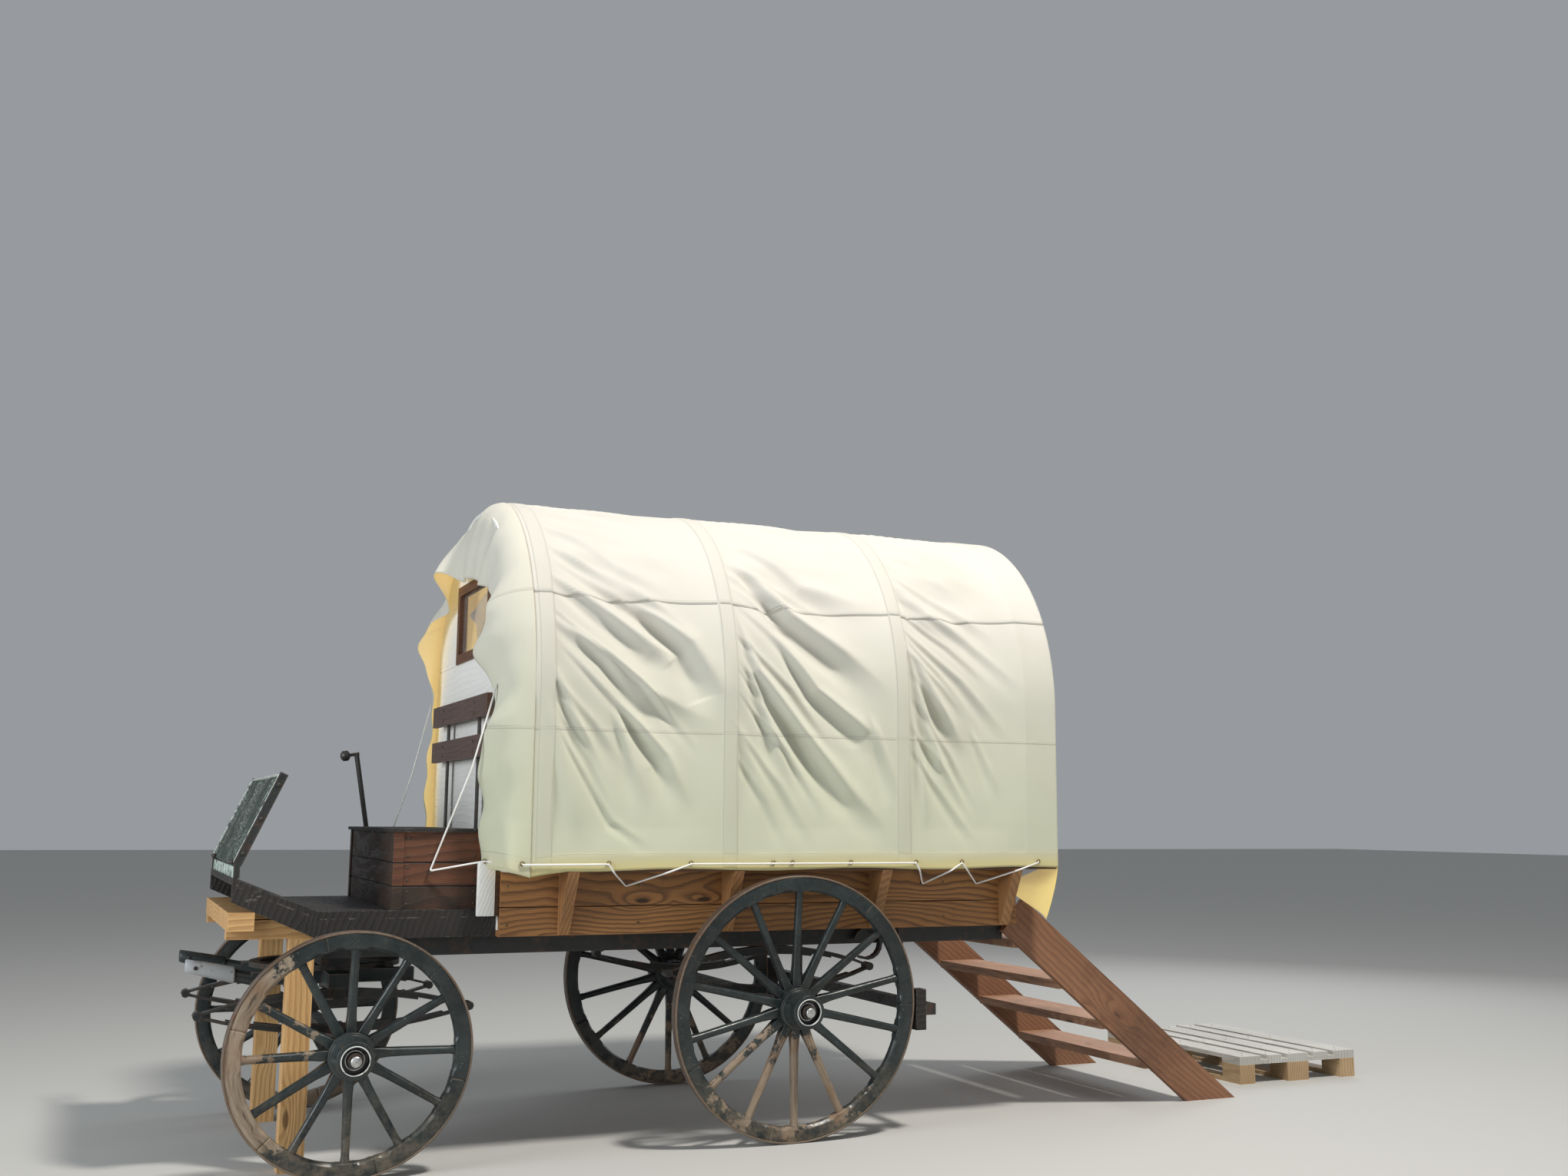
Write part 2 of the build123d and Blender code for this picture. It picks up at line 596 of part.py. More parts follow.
for z in HINGE_Z:
    barrel = Pos(hinge_x, hinge_y, z - 30) * extrude(RegularPolygon(HINGE_OUT, 12), 60)
    flap = block(wall_in, wall_in + 4, hinge_y + 6, hinge_y + 90, z - 28, z + 28)
    flap = flap + block(wall_in, hinge_x, hinge_y + 6, hinge_y + 10, z - 28, z + 28)
    door = door + (barrel + flap - Pos(hinge_x, hinge_y, z) * Cylinder(5 + RUN_FIT, 80))
    for end in (-1, 1):
        arm_z = z + end * (30 + CLEAR)
        arm = block(wall_in - 2, hinge_x + 6, hinge_y - 34, hinge_y + 1.5, arm_z, arm_z + end * 8)
        rear_wall = rear_wall + arm
    rear_wall = rear_wall + Pos(hinge_x, hinge_y, z) * Cylinder(5, 70)
put("door", door)
put("rear_wall", rear_wall)
put("door_glass", block(BODY_REAR + 11, BODY_REAR + 11 + PANE_THICK, *light))

# Front platform: joists on the sills, deck boards, and a rising footboard.
deck_z = FLOOR_Z + FASCIA_DEPTH
deck_top = deck_z + DECK_THICK
p0 = BODY_FRONT + 1
frame = block(p0, PLATFORM_FRONT, -PLATFORM_HALF, PLATFORM_HALF, FLOOR_Z, deck_z)
hollow_y = PLATFORM_HALF - 28
frame = frame - block(p0 + 40, PLATFORM_FRONT - 28, -hollow_y, hollow_y, FLOOR_Z - 1, deck_z + 1)
joist_y = PLATFORM_HALF - 1
frame = frame + block(WHEELBASE - 240, WHEELBASE - 190, -joist_y, joist_y, FLOOR_Z, deck_z)
put("platform_frame", frame)
put("platform_deck", block(p0, PLATFORM_FRONT, -PLATFORM_HALF, PLATFORM_HALF, deck_z, deck_top))
slope = FOOT_RISE / FOOT_REACH
cheek_line = [
    (PLATFORM_FRONT + 1, deck_top - FOOT_THICK),
    (PLATFORM_FRONT + FOOT_REACH, deck_top + FOOT_RISE - FOOT_THICK),
    (PLATFORM_FRONT + FOOT_REACH, deck_top + FOOT_RISE - FOOT_THICK - CHEEK_DEPTH),
    (PLATFORM_FRONT + 1, FLOOR_Z + 6),
]
cheeks = [side_profile(cheek_line, PLATFORM_HALF - CHEEK_THICK, PLATFORM_HALF)]
cheeks.append(mirrored(cheeks[0]))
put("footboard_cheeks", *cheeks)
board_line = [
    (PLATFORM_FRONT + 1, deck_top - FOOT_THICK),
    (PLATFORM_FRONT + FOOT_REACH, deck_top + FOOT_RISE - FOOT_THICK),
    (PLATFORM_FRONT + FOOT_REACH, deck_top + FOOT_RISE),
    (PLATFORM_FRONT + 1, deck_top),
]
put("footboard", side_profile(board_line, -PLATFORM_HALF, PLATFORM_HALF))

# Dash: a panel leaning back on two edge irons that stand on the footboard's tip,
# with a low board closing the gap under it.
dash_x = PLATFORM_FRONT + FOOT_REACH - 14
dash_z = deck_top + FOOT_RISE + DASH_RAISE
panel = Box(DASH_THICK, 2 * DASH_HALF, DASH_HEIGHT, align=(Align.CENTER, Align.CENTER, Align.MIN))
panel = Pos(dash_x, 0, dash_z) * Rot(Y=-DASH_LEAN) * panel
low_x = dash_x + DASH_THICK / 4
low_z = deck_top + slope * (low_x - PLATFORM_FRONT) + CLEAR
low_y = DASH_HALF - CLEAR
low_top = dash_z - DASH_THICK / 2 * math.sin(math.radians(DASH_LEAN)) - CLEAR
put("dash_panel", panel, block(low_x - DASH_THICK / 2, low_x, -low_y, low_y, low_z, low_top))
irons = []
for side in (1, -1):
    y = side * (DASH_HALF + 4)
    bar = Box(34, 8, DASH_HEIGHT + 10, align=(Align.CENTER, Align.CENTER, Align.MIN))
    bar = Pos(dash_x, y, dash_z) * Rot(Y=-DASH_LEAN) * bar
    tip_z = deck_top + slope * (dash_x + 12 - PLATFORM_FRONT)
    foot = block(dash_x - 12, dash_x + 12, y - 4, y + 4, tip_z, dash_z + 14)
    irons.append(bar + foot)
put("dash_irons", *irons)

# Seat box with a hinged lid, and the slatted backrest on two flat irons.
box_top = SEAT_TOP - LID_THICK
seat = block(SEAT_REAR, SEAT_REAR + SEAT_DEPTH, -SEAT_HALF, SEAT_HALF, deck_top, box_top)
seat_in = SEAT_HALF - SEAT_BOARD
store_x = (SEAT_REAR + SEAT_BOARD, SEAT_REAR + SEAT_DEPTH - SEAT_BOARD)
seat_front = SEAT_REAR + SEAT_DEPTH
for z in SEAT_SEAMS:
    core_y = SEAT_HALF - SEAT_SEAM
    core = block(SEAT_REAR, seat_front - SEAT_SEAM, -core_y, core_y, z, z + SEAT_SEAM)
    seam = block(SEAT_REAR, seat_front, -SEAT_HALF, SEAT_HALF, z, z + SEAT_SEAM)
    seat = seat - (seam - core)
for side in (1, -1):
    y0, y1 = side * (SEAT_HALF - SEAT_POST), side * (SEAT_HALF + SEAT_PROUD)
    seat = seat + block(seat_front - SEAT_POST, seat_front + SEAT_PROUD, y0, y1, deck_top, box_top)
seat = seat - block(*store_x, -seat_in, seat_in, deck_top + SEAT_BOARD, box_top + 1)
lid_z = box_top + CLEAR
lid_y = SEAT_HALF + LID_OVER
lid_x = (SEAT_REAR + LID_INSET, SEAT_REAR + SEAT_DEPTH + LID_OVER)
lid = block(*lid_x, -lid_y, lid_y, lid_z, lid_z + LID_THICK)
lid_axis = (SEAT_REAR - LID_BARREL_R - 1, lid_z + LID_THICK / 2)
half = LID_BARREL / 2
for y in (-LID_HINGE_Y, LID_HINGE_Y):
    at = Pos(lid_axis[0], y, lid_axis[1])
    flap = block(lid_axis[0], SEAT_REAR + 40, y - half, y + half, lid_z + 2, lid_z + 6)
    barrel = at * extrude(Plane.XZ * Circle(LID_BARREL_R), half, both=True) + flap
    lid = lid + (barrel - at * extrude(Plane.XZ * Circle(LID_PIN_R + RUN_FIT), half + 1, both=True))
    seat = seat + at * extrude(Plane.XZ * Circle(LID_PIN_R), half + 8, both=True)
    for end in (-1, 1):
        arm_y = y + end * (half + CLEAR)
        arm = block(lid_axis[0] - 5, SEAT_REAR + 1, arm_y, arm_y + end * 8, box_top - 30, box_top - 1)
        ear = block(lid_axis[0] - 5, lid_axis[0] + 5, arm_y, arm_y + end * 8, box_top - 30, lid_axis[1] + 5)
        seat = seat + arm + ear
put("seat_box", seat)
put("seat_lid", lid)
iron_x = SEAT_REAR - 40
irons = []
for side in (1, -1):
    y = side * BACK_IRON_Y
    bar = block(iron_x, iron_x + 8, y - 20, y + 20, deck_top, BACK_TOP - 10)
    bar = bar + block(iron_x, SEAT_REAR, y - 20, y + 20, deck_top + 40, deck_top + 48)
    irons.append(bar)
put("backrest_irons", *irons)
slats = []
for i in range(2):
    top = BACK_TOP - i * (SLAT_HEIGHT + SLAT_GAP)
    slats.append(block(iron_x + 8, iron_x + 8 + SLAT_THICK, -SLAT_HALF, SLAT_HALF, top - SLAT_HEIGHT, top))
put("backrest_slats", *slats)

# Screw brake: crank and spindle beside the seat, beam and shoes behind the wheels.
spindle_y = -SEAT_HALF - 46
rod = Pos(0, 0, CRANK_FOOT / 2) * extrude(RegularPolygon(CRANK_ROD, 8), CRANK_LENGTH - CRANK_FOOT / 2)
arm_y = CRANK_ROD * 0.8
arm = block(-CRANK_ROD, CRANK_ARM, -arm_y, arm_y, CRANK_LENGTH - 16, CRANK_LENGTH)
ball = []
for height, width in ((-1, 0.5), (-0.5, 0.9), (0, 1), (0.5, 0.9), (1, 0.5)):
    ball.append(corner_ring(Plane.XY.offset(KNOB_R * height), 10, KNOB_R * width))
knob = Pos(CRANK_ARM + KNOB_R / 2, 0, CRANK_LENGTH - 8) * frustum(*ball)
crank = Rot(Y=CRANK_LEAN) * (rod + arm + knob) + extrude(RegularPolygon(30, 8), CRANK_FOOT)
put("brake_crank", Pos(BRAKE_X, spindle_y, deck_top) * crank)
shoe_x = -REAR_R - SHOE_GAP
shoe_back = shoe_x - SHOE_DEEP
beam_z = REAR_AXLE_Z - BEAM_DROP
beam_end = REAR_TRACK / 2 + SHOE_HALF
beam = block(shoe_back - BEAM_DEEP, shoe_back, -beam_end, beam_end, beam_z - BEAM_HALF, beam_z + BEAM_HALF)
iron_x = shoe_back - (BEAM_DEEP - BEAM_IRON) / 2
shoes = []
for side in (1, -1):
    y = side * REAR_TRACK / 2
    shoes.append(block(shoe_back, shoe_x, y - SHOE_HALF, y + SHOE_HALF, beam_z - SHOE_RISE, beam_z + SHOE_RISE))
    iron_in = side * (SILL_Y + SILL_WIDTH / 2)
    iron_out = side * (SILL_Y + SILL_WIDTH / 2 + BEAM_IRON_THICK)
    beam = beam + block(iron_x - BEAM_IRON, iron_x, iron_in, iron_out, beam_z, FLOOR_Z - BEAM_IRON_GAP)
put("brake_beam", beam)
put("brake_shoes", *shoes)

# New timber props under the platform: posts, notched bearers and a cross beam.
post_top = FLOOR_Z + 5
posts = []
bearers = []
cross_x = PLATFORM_FRONT + FOOT_REACH - 90
for side in (1, -1):
    y0 = side * POST_Y - POST_SIZE / 2
    y1 = side * POST_Y
    posts.append(block(POST_X - POST_SIZE / 2, POST_X + POST_SIZE / 2, y0, y0 + POST_SIZE, 0, post_top))
    bearer = block(PLATFORM_FRONT + 1, cross_x + 100, y1 - 38, y1 + 38, post_top, post_top + 75)
    bearer = bearer - block(cross_x, cross_x + 101, -2000, 2000, post_top + 35, post_top + 100)
    bearers.append(bearer)
put("prop_posts", *posts)
cheek_z = FLOOR_Z + 6 + (cheek_line[2][1] - FLOOR_Z - 6) * (cross_x - PLATFORM_FRONT - 1) / (FOOT_REACH - 1)
cross_beam = block(cross_x, cross_x + 100, -PLATFORM_HALF, PLATFORM_HALF, post_top + 35, cheek_z)
put("prop_bearers", *bearers, cross_beam)

# Stairs: two plank stringers with four treads, leaning on the body's rear end.
a = math.radians(STAIR_ANGLE)
top_low_z = FLOOR_Z - STAIR_DROP
top_low = (BODY_REAR + (STAIR_DROP * math.sin(a) - CLEAR) / math.cos(a), top_low_z)
top_high = (top_low[0] - STRINGER_WIDTH * math.sin(a), top_low[1] + STRINGER_WIDTH * math.cos(a))
foot_low = (top_low[0] - top_low[1] / math.tan(a), 0.0)
foot_high = (top_high[0] - top_high[1] / math.tan(a), 0.0)
stringer = side_profile([top_low, top_high, foot_high, foot_low], STAIR_HALF - STRINGER_THICK, STAIR_HALF)
put("stair_stringers", stringer, mirrored(stringer))
treads = []
for i in range(TREADS):
    z = TREAD_RISE * (i + 1)
    x = top_low[0] - (top_low[1] - z) / math.tan(a) - 24
    inner = STAIR_HALF - STRINGER_THICK
    treads.append(block(x - TREAD_DEPTH, x, -inner, inner, z - TREAD_THICK, z))
put("stair_treads", *treads)

# Landing pallet: top boards on stringer boards on nine blocks, three runners.
px0, px1 = PALLET_FRONT_X - PALLET_SHORT, PALLET_FRONT_X
py0, py1 = PALLET_NEAR_Y - PALLET_LONG, PALLET_NEAR_Y
deck = None
for i in range(5):
    wide = 145.0 if i % 2 == 0 else 100.0
    centre = px0 + 72.5 + (PALLET_SHORT - 145) * i / 4
    board = block(centre - wide / 2, centre + wide / 2, py0, py1, PALLET_HEIGHT - 22, PALLET_HEIGHT)
    deck = board if deck is None else deck + board
for y, wide in ((py0, 145.0), ((py0 + py1) / 2 - 72.5, 145.0), (py1 - 145.0, 145.0)):
    deck = deck + block(px0, px1, y, y + wide, PALLET_HEIGHT - 44, PALLET_HEIGHT - 22)
put("pallet_deck", deck)
base = []
for x, wide in ((px0, 100.0), ((px0 + px1) / 2 - 72.5, 145.0), (px1 - 100.0, 100.0)):
    runner = block(x, x + wide, py0, py1, 0, 22)
    for y in (py0, (py0 + py1) / 2 - 72.5, py1 - 145.0):
        runner = runner + block(x, x + wide, y, y + 145, 22, PALLET_HEIGHT - 44)
    base.append(runner)
put("pallet_base", *base)
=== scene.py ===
import json
import math

import bpy
import numpy as np
from mathutils import Matrix, Vector


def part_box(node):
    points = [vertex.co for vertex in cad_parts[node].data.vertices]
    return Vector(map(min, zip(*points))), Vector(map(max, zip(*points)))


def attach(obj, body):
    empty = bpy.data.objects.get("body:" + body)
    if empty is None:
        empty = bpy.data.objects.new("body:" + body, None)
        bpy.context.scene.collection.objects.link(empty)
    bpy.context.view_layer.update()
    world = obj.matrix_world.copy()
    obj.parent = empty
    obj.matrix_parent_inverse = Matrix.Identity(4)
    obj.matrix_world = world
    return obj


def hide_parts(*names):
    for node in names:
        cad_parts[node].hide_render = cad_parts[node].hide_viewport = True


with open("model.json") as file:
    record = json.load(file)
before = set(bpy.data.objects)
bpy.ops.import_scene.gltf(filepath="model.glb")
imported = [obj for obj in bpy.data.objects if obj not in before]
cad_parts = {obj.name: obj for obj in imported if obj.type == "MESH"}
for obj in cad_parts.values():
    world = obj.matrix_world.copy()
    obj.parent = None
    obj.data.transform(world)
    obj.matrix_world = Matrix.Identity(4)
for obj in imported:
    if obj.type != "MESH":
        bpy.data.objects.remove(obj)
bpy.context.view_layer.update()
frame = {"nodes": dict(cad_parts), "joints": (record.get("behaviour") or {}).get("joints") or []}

nodes = frame["nodes"]

# Camera. A wide lens low on the wagon's left, a little behind the front wheel,
# looking across the front platform and up at the cover. Its place is measured
# from the rear axle and the ground, its turns are in radians.
rear_axle_x = sum(corner[0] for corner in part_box("rear_axle")) / 2
eye_forth, eye_left, eye_up = 2.88, 7.20, 1.395
yaw, pitch, roll = 0.4152, 0.1491, -0.0076
forward = np.array([
    -math.sin(yaw) * math.cos(pitch), -math.cos(yaw) * math.cos(pitch), math.sin(pitch)])
level_right = np.array([-math.cos(yaw), math.sin(yaw), 0.0])
level_down = np.cross(forward, level_right)
turned = np.eye(4)
turned[:3, 0] = math.cos(roll) * level_right + math.sin(roll) * level_down
turned[:3, 1] = math.sin(roll) * level_right - math.cos(roll) * level_down
turned[:3, 2] = -forward
turned[:3, 3] = (eye_forth + rear_axle_x, eye_left, eye_up)
sight = bpy.data.cameras.new("sight")
sight.lens = 35.365
sight.sensor_width = 36.0
sight.clip_end = 200.0
camera = bpy.data.objects.new("camera", sight)
camera.matrix_world = Matrix(turned.tolist())
bpy.context.scene.collection.objects.link(camera)
bpy.context.scene.camera = camera

bpy.context.scene.view_settings.view_transform = "Standard"

# Studio. A pale floor, a small warm light high over the wagon's left side that
# rakes across the cloth, two weaker cool ones, and an even pale surround.
floor_half = 60
floor_corners = [
    (x * floor_half, y * floor_half, 0) for x, y in ((-1, -1), (1, -1), (1, 1), (-1, 1))]
floor_mesh = bpy.data.meshes.new("studio_floor")
floor_mesh.from_pydata(floor_corners, [], [(0, 1, 2, 3)])
floor = bpy.data.objects.new("studio_floor", floor_mesh)
bpy.context.scene.collection.objects.link(floor)
floor_paint = bpy.data.materials.new("studio_floor")
floor_paint.use_nodes = True
floor_look = floor_paint.node_tree.nodes["Principled BSDF"].inputs
floor_look["Base Color"].default_value = (0.50, 0.50, 0.48, 1)
floor_look["Roughness"].default_value = 0.9
floor_mesh.materials.append(floor_paint)
for name, place, aim, size, power, colour in (
    ("key", (-0.8, 4.1, 9.0), (0.4, 0.1, 1.4), 0.9, 790.0, (1.0, 0.95, 0.88)),
    ("front_fill", (8.5, 3.0, 2.6), (1.2, 0.0, 1.2), 3.5, 330.0, (0.92, 0.96, 1.0)),
    ("rear_fill", (-6.5, -4.0, 4.5), (-0.5, 0.0, 1.5), 4.0, 130.0, (0.95, 0.97, 1.0)),
):
    lamp = bpy.data.lights.new(name, "AREA")
    lamp.size = size
    lamp.energy = power
    lamp.color = colour
    light = bpy.data.objects.new(name, lamp)
    facing = (Vector(place) - Vector(aim)).to_track_quat("Z", "Y")
    light.matrix_world = Matrix.Translation(place) @ facing.to_matrix().to_4x4()
    bpy.context.scene.collection.objects.link(light)
surround = bpy.data.worlds.new("surround")
surround.use_nodes = True
surround_look = surround.node_tree.nodes["Background"].inputs
surround_look["Color"].default_value = (0.86, 0.90, 0.95, 1)
surround_look["Strength"].default_value = 0.36
bpy.context.scene.world = surround


# Running gear: spoked wooden wheels under worn, near-black paint, with iron
# tyres shrunk on. The paint has gone from the edges and the foot of the rims.
def new_group(name, inputs, outputs):
    """A shader node group with named sockets: its tree, the values in and the values out."""
    tree = bpy.data.node_groups.new(name, "ShaderNodeTree")
    kinds = {"v": "NodeSocketVector", "c": "NodeSocketColor", "f": "NodeSocketFloat"}
    for direction, sockets in (("INPUT", inputs), ("OUTPUT", outputs)):
        for label, kind, default in sockets:
            socket = tree.interface.new_socket(
                name=label, in_out=direction, socket_type=kinds[kind])
            if default is not None:
                socket.default_value = default
    return tree, tree.nodes.new("NodeGroupInput").outputs, tree.nodes.new("NodeGroupOutput").inputs


def add(tree, kind, links=None, **settings):
    """One node with its settings, its linked inputs and its plain input values."""
    node = tree.nodes.new("ShaderNode" + kind)
    for key, value in settings.items():
        setattr(node, key, value)
    for socket, value in (links or {}).items():
        if isinstance(value, bpy.types.NodeSocket):
            tree.links.new(value, node.inputs[socket])
        else:
            node.inputs[socket].default_value = value
    return node


def sums(tree, operation, a, b=0.0, c=0.0, clamp=False):
    """The result of one arithmetic node."""
    return add(tree, "Math", {0: a, 1: b, 2: c}, operation=operation, use_clamp=clamp).outputs[0]


def times(tree, a, b):
    """The product of two values."""
    return sums(tree, "MULTIPLY", a, b)


def apart(tree, a, b):
    """The distance between two values."""
    return sums(tree, "ABSOLUTE", sums(tree, "SUBTRACT", a, b))


def axis_of(tree, vector, index):
    """One of a vector's three values."""
    return add(tree, "SeparateXYZ", {0: vector}).outputs[index]


def ramp(tree, value, low, high, out_low=0.0, out_high=1.0):
    """A smooth step of a value between two limits."""
    links = {"Value": value, "From Min": low, "From Max": high, "To Min": out_low,
             "To Max": out_high}
    return add(tree, "MapRange", links, interpolation_type="SMOOTHSTEP").outputs["Result"]


def blended(tree, amount, a, b, mode="MIX"):
    """Two colours mixed by an amount."""
    node = add(tree, "Mix", {0: amount}, data_type="RGBA", blend_type=mode)
    for index, value in ((6, a), (7, b)):
        if isinstance(value, bpy.types.NodeSocket):
            tree.links.new(value, node.inputs[index])
        else:
            node.inputs[index].default_value = (*value[:3], 1.0)
    return node.outputs[2]


def noise(tree, vector, scale, detail=3.0, roughness=0.55):
    """Fractal noise around one half."""
    links = {"Vector": vector, "Scale": scale, "Detail": detail, "Roughness": roughness}
    return add(tree, "TexNoise", links).outputs["Fac"]


def patches(tree, vector, scale, detail, roughness, low, high, out_low=0.0, out_high=1.0):
    """Noise cut into soft patches: nothing below one limit, all of it above the other."""
    return ramp(tree, noise(tree, vector, scale, detail, roughness), low, high, out_low, out_high)


def stretched(tree, vector, scale, turn=(0.0, 0.0, 0.0), shift=(0.0, 0.0, 0.0)):
    """Coordinates turned, then drawn out along an axis."""
    links = {"Vector": vector, "Location": shift, "Rotation": turn, "Scale": scale}
    return add(tree, "Mapping", links).outputs["Vector"]


# rubbed_edges: where a rounded normal leaves the true one, broken up by noise.
edges, ins, outs = new_group(
    "rubbed_edges",
    [("Vector", "v", None), ("Radius", "f", 0.01), ("Amount", "f", 0.5)],
    [("Mask", "f", None)],
)
rounded = add(edges, "Bevel", {"Radius": ins["Radius"]}, samples=4).outputs[0]
true = add(edges, "NewGeometry").outputs["Normal"]
agreed = add(edges, "VectorMath", {0: rounded, 1: true}, operation="DOT_PRODUCT").outputs["Value"]
grit = times(edges, noise(edges, ins["Vector"], 38.0, 4.0, 0.7), 9.0)
bare = times(edges, sums(edges, "SUBTRACT", 1.0, agreed), grit)
edges.links.new(times(edges, ramp(edges, bare, 0.12, 0.75), ins["Amount"]), outs["Mask"])

# sawn_grain: yearly rings round a wandering pith along the coordinates' X, with
# fine fibres, a few knots and slow changes of tone.
grain, ins, outs = new_group(
    "sawn_grain",
    [("Vector", "v", None), ("Early", "c", (0.4, 0.2, 0.1, 1)), ("Late", "c", (0.1, 0.05, 0.02, 1)),
     ("Rings", "f", 55.0), ("Wander", "f", 0.12), ("Knots", "f", 1.0), ("Fibres", "f", 1.0)],
    [("Color", "c", None), ("Rough", "f", None), ("Height", "f", None)],
)
along = ins["Vector"]
crosswise = []
for axis, scale, shift, detail, middle in (
    (1, (1.1, 2.6, 2.6), (0, 0, 0), 2.0, 0.13), (2, (0.8, 2.2, 2.2), (7, 3, 1), 1.0, -0.05),
):
    drift = noise(grain, stretched(grain, along, scale, shift=shift), 1.0, detail, 0.4)
    drift = sums(grain, "MULTIPLY_ADD", sums(grain, "SUBTRACT", drift, 0.5), ins["Wander"], middle)
    from_pith = sums(grain, "ADD", drift, axis_of(grain, along, axis))
    crosswise.append(times(grain, from_pith, from_pith))
radius = sums(grain, "SQRT", sums(grain, "ADD", *crosswise))
knot_place = stretched(grain, along, (1.7, 5.5, 5.5))
cells = add(grain, "TexVoronoi", {"Vector": knot_place, "Scale": 1.0}, feature="F1")
knot_near, knot_core = (
    times(grain, ramp(grain, cells.outputs["Distance"], far, near), ins["Knots"])
    for far, near in ((0.34, 0.0), (0.085, 0.045)))
rings = sums(grain, "MULTIPLY_ADD", radius, ins["Rings"], times(grain, knot_near, 2.2))
waver = times(grain, noise(grain, along, 9.0, 2.0), 0.6)
rings = sums(grain, "FRACT", sums(grain, "ADD", rings, waver))
late = times(grain, ramp(grain, rings, 0.30, 0.88), ramp(grain, rings, 1.0, 0.93))
fibre = noise(grain, stretched(grain, along, (9.0, 260.0, 260.0)), 1.0, 3.0, 0.6)
tone = noise(grain, stretched(grain, along, (1.4, 6.0, 6.0), shift=(3, 9, 4)), 1.0, 2.0, 0.5)
late_share = times(grain, late, ramp(grain, tone, 0.25, 0.75, 0.55, 1.0))
wood = blended(grain, late_share, ins["Early"], ins["Late"])
fibre_share = times(grain, ramp(grain, fibre, 0.35, 0.75, 0.0, 0.28), ins["Fibres"])
wood = blended(grain, fibre_share, wood, (0.02, 0.012, 0.008))
wood = blended(grain, ramp(grain, tone, 0.35, 0.75, 0.0, 0.30), wood, ins["Early"], "SCREEN")
wood = blended(grain, knot_core, wood, blended(grain, 0.6, ins["Late"], (0.02, 0.01, 0.006)))
grain.links.new(wood, outs["Color"])
dull = sums(grain, "MULTIPLY_ADD", late, -0.12, ramp(grain, fibre, 0.2, 0.8, 0.55, 0.78))
grain.links.new(dull, outs["Rough"])
raised = sums(grain, "MULTIPLY_ADD", late, 0.5, times(grain, fibre, 0.6))
grain.links.new(raised, outs["Height"])


def surface(tree):
    """The values of a material's own Principled shader."""
    return tree.nodes["Principled BSDF"].inputs


def finish_material(colour, rough, height=None, depth=0.001, coat=None):
    """A Principled surface made of the tree's last sockets, with relief in metres."""
    tree = colour.id_data
    look = surface(tree)
    tree.links.new(colour, look["Base Color"])
    tree.links.new(rough, look["Roughness"])
    if coat is not None:
        look["Coat Weight"].default_value = coat
        look["Coat Roughness"].default_value = 0.25
    if height is not None:
        relief = add(tree, "Bump", {"Height": height, "Distance": depth, "Strength": 1.0})
        tree.links.new(relief.outputs[0], look["Normal"])


def start_material(name):
    """A new node material, its tree and its Object coordinates."""
    material = bpy.data.materials.new(name)
    material.use_nodes = True
    tree = material.node_tree
    return material, tree, add(tree, "TexCoord").outputs["Object"]


def use(tree, group, **inputs):
    """A shared group placed in a material, with its own values."""
    node = tree.nodes.new("ShaderNodeGroup")
    node.node_tree = group
    for label, value in inputs.items():
        if isinstance(value, bpy.types.NodeSocket):
            tree.links.new(value, node.inputs[label])
        else:
            node.inputs[label].default_value = value
    return node.outputs


def dress(material, *names):
    """The material on carried-over pieces of the frame."""
    for name in names:
        for place in nodes[name].material_slots:
            place.material = material


def painted_wood(name, paint, under, wear, rust=0.0):
    """Old paint over timber or iron: rubbed at the edges, scuffed and dusty low down."""
    material, tree, place = start_material(name)
    rub = use(tree, edges, Vector=place, Radius=0.012, Amount=wear)["Mask"]
    scuffs = patches(tree, place, 7.0, 6.0, 0.72, 0.60, 0.74)
    specks = patches(tree, place, 90.0, 3.0, 0.6, 0.62, 0.70)
    marks = times(tree, sums(tree, "MAXIMUM", scuffs, specks), wear * 0.55)
    bare = sums(tree, "MAXIMUM", rub, marks, clamp=True)
    lighter = tuple(1.9 * c for c in paint)
    coat = blended(tree, patches(tree, place, 3.0, 4.0, 0.6, 0.3, 0.7), paint, lighter)
    coat = blended(tree, bare, coat, under)
    rusty = patches(tree, place, 22.0, 4.0, 0.55, 0.5, 0.8, 0.0, rust)
    coat = blended(tree, rusty, coat, (0.13, 0.05, 0.02))
    low = ramp(tree, axis_of(tree, place, 2), 0.45, 0.0, 0.0, 0.45)
    dust = times(tree, low, noise(tree, place, 14.0, 5.0, 0.7))
    coat = blended(tree, dust, coat, (0.26, 0.21, 0.15))
    smooth = patches(tree, place, 30.0, 3.0, 0.55, 0.3, 0.7, 0.34, 0.52)
    rough = sums(tree, "MULTIPLY_ADD", bare, 0.3, smooth)
    brushed = noise(tree, place, 60.0, 4.0, 0.6)
    height = sums(tree, "SUBTRACT", brushed, times(tree, bare, 0.8))
    finish_material(coat, rough, height, 0.0008)
    return material


iron_paint = painted_wood("wagon_iron", (0.012, 0.014, 0.014), (0.10, 0.075, 0.055), 0.6, 0.5)
tyre_iron = painted_wood("tyre_iron", (0.050, 0.036, 0.027), (0.30, 0.22, 0.15), 1.0, 0.8)
shaft_paint = painted_wood("shaft_paint", (0.014, 0.020, 0.021), (0.20, 0.16, 0.12), 0.7)
dress(iron_paint, "rear_axle", "front_axle", "rear_springs", "front_springs", "turntable_lower",
      "turntable_upper", "scroll_irons", "chassis_frame", "brake_crank", "brake_beam", "dash_irons",
      "backrest_irons")
dress(shaft_paint, "bolster", "futchells")

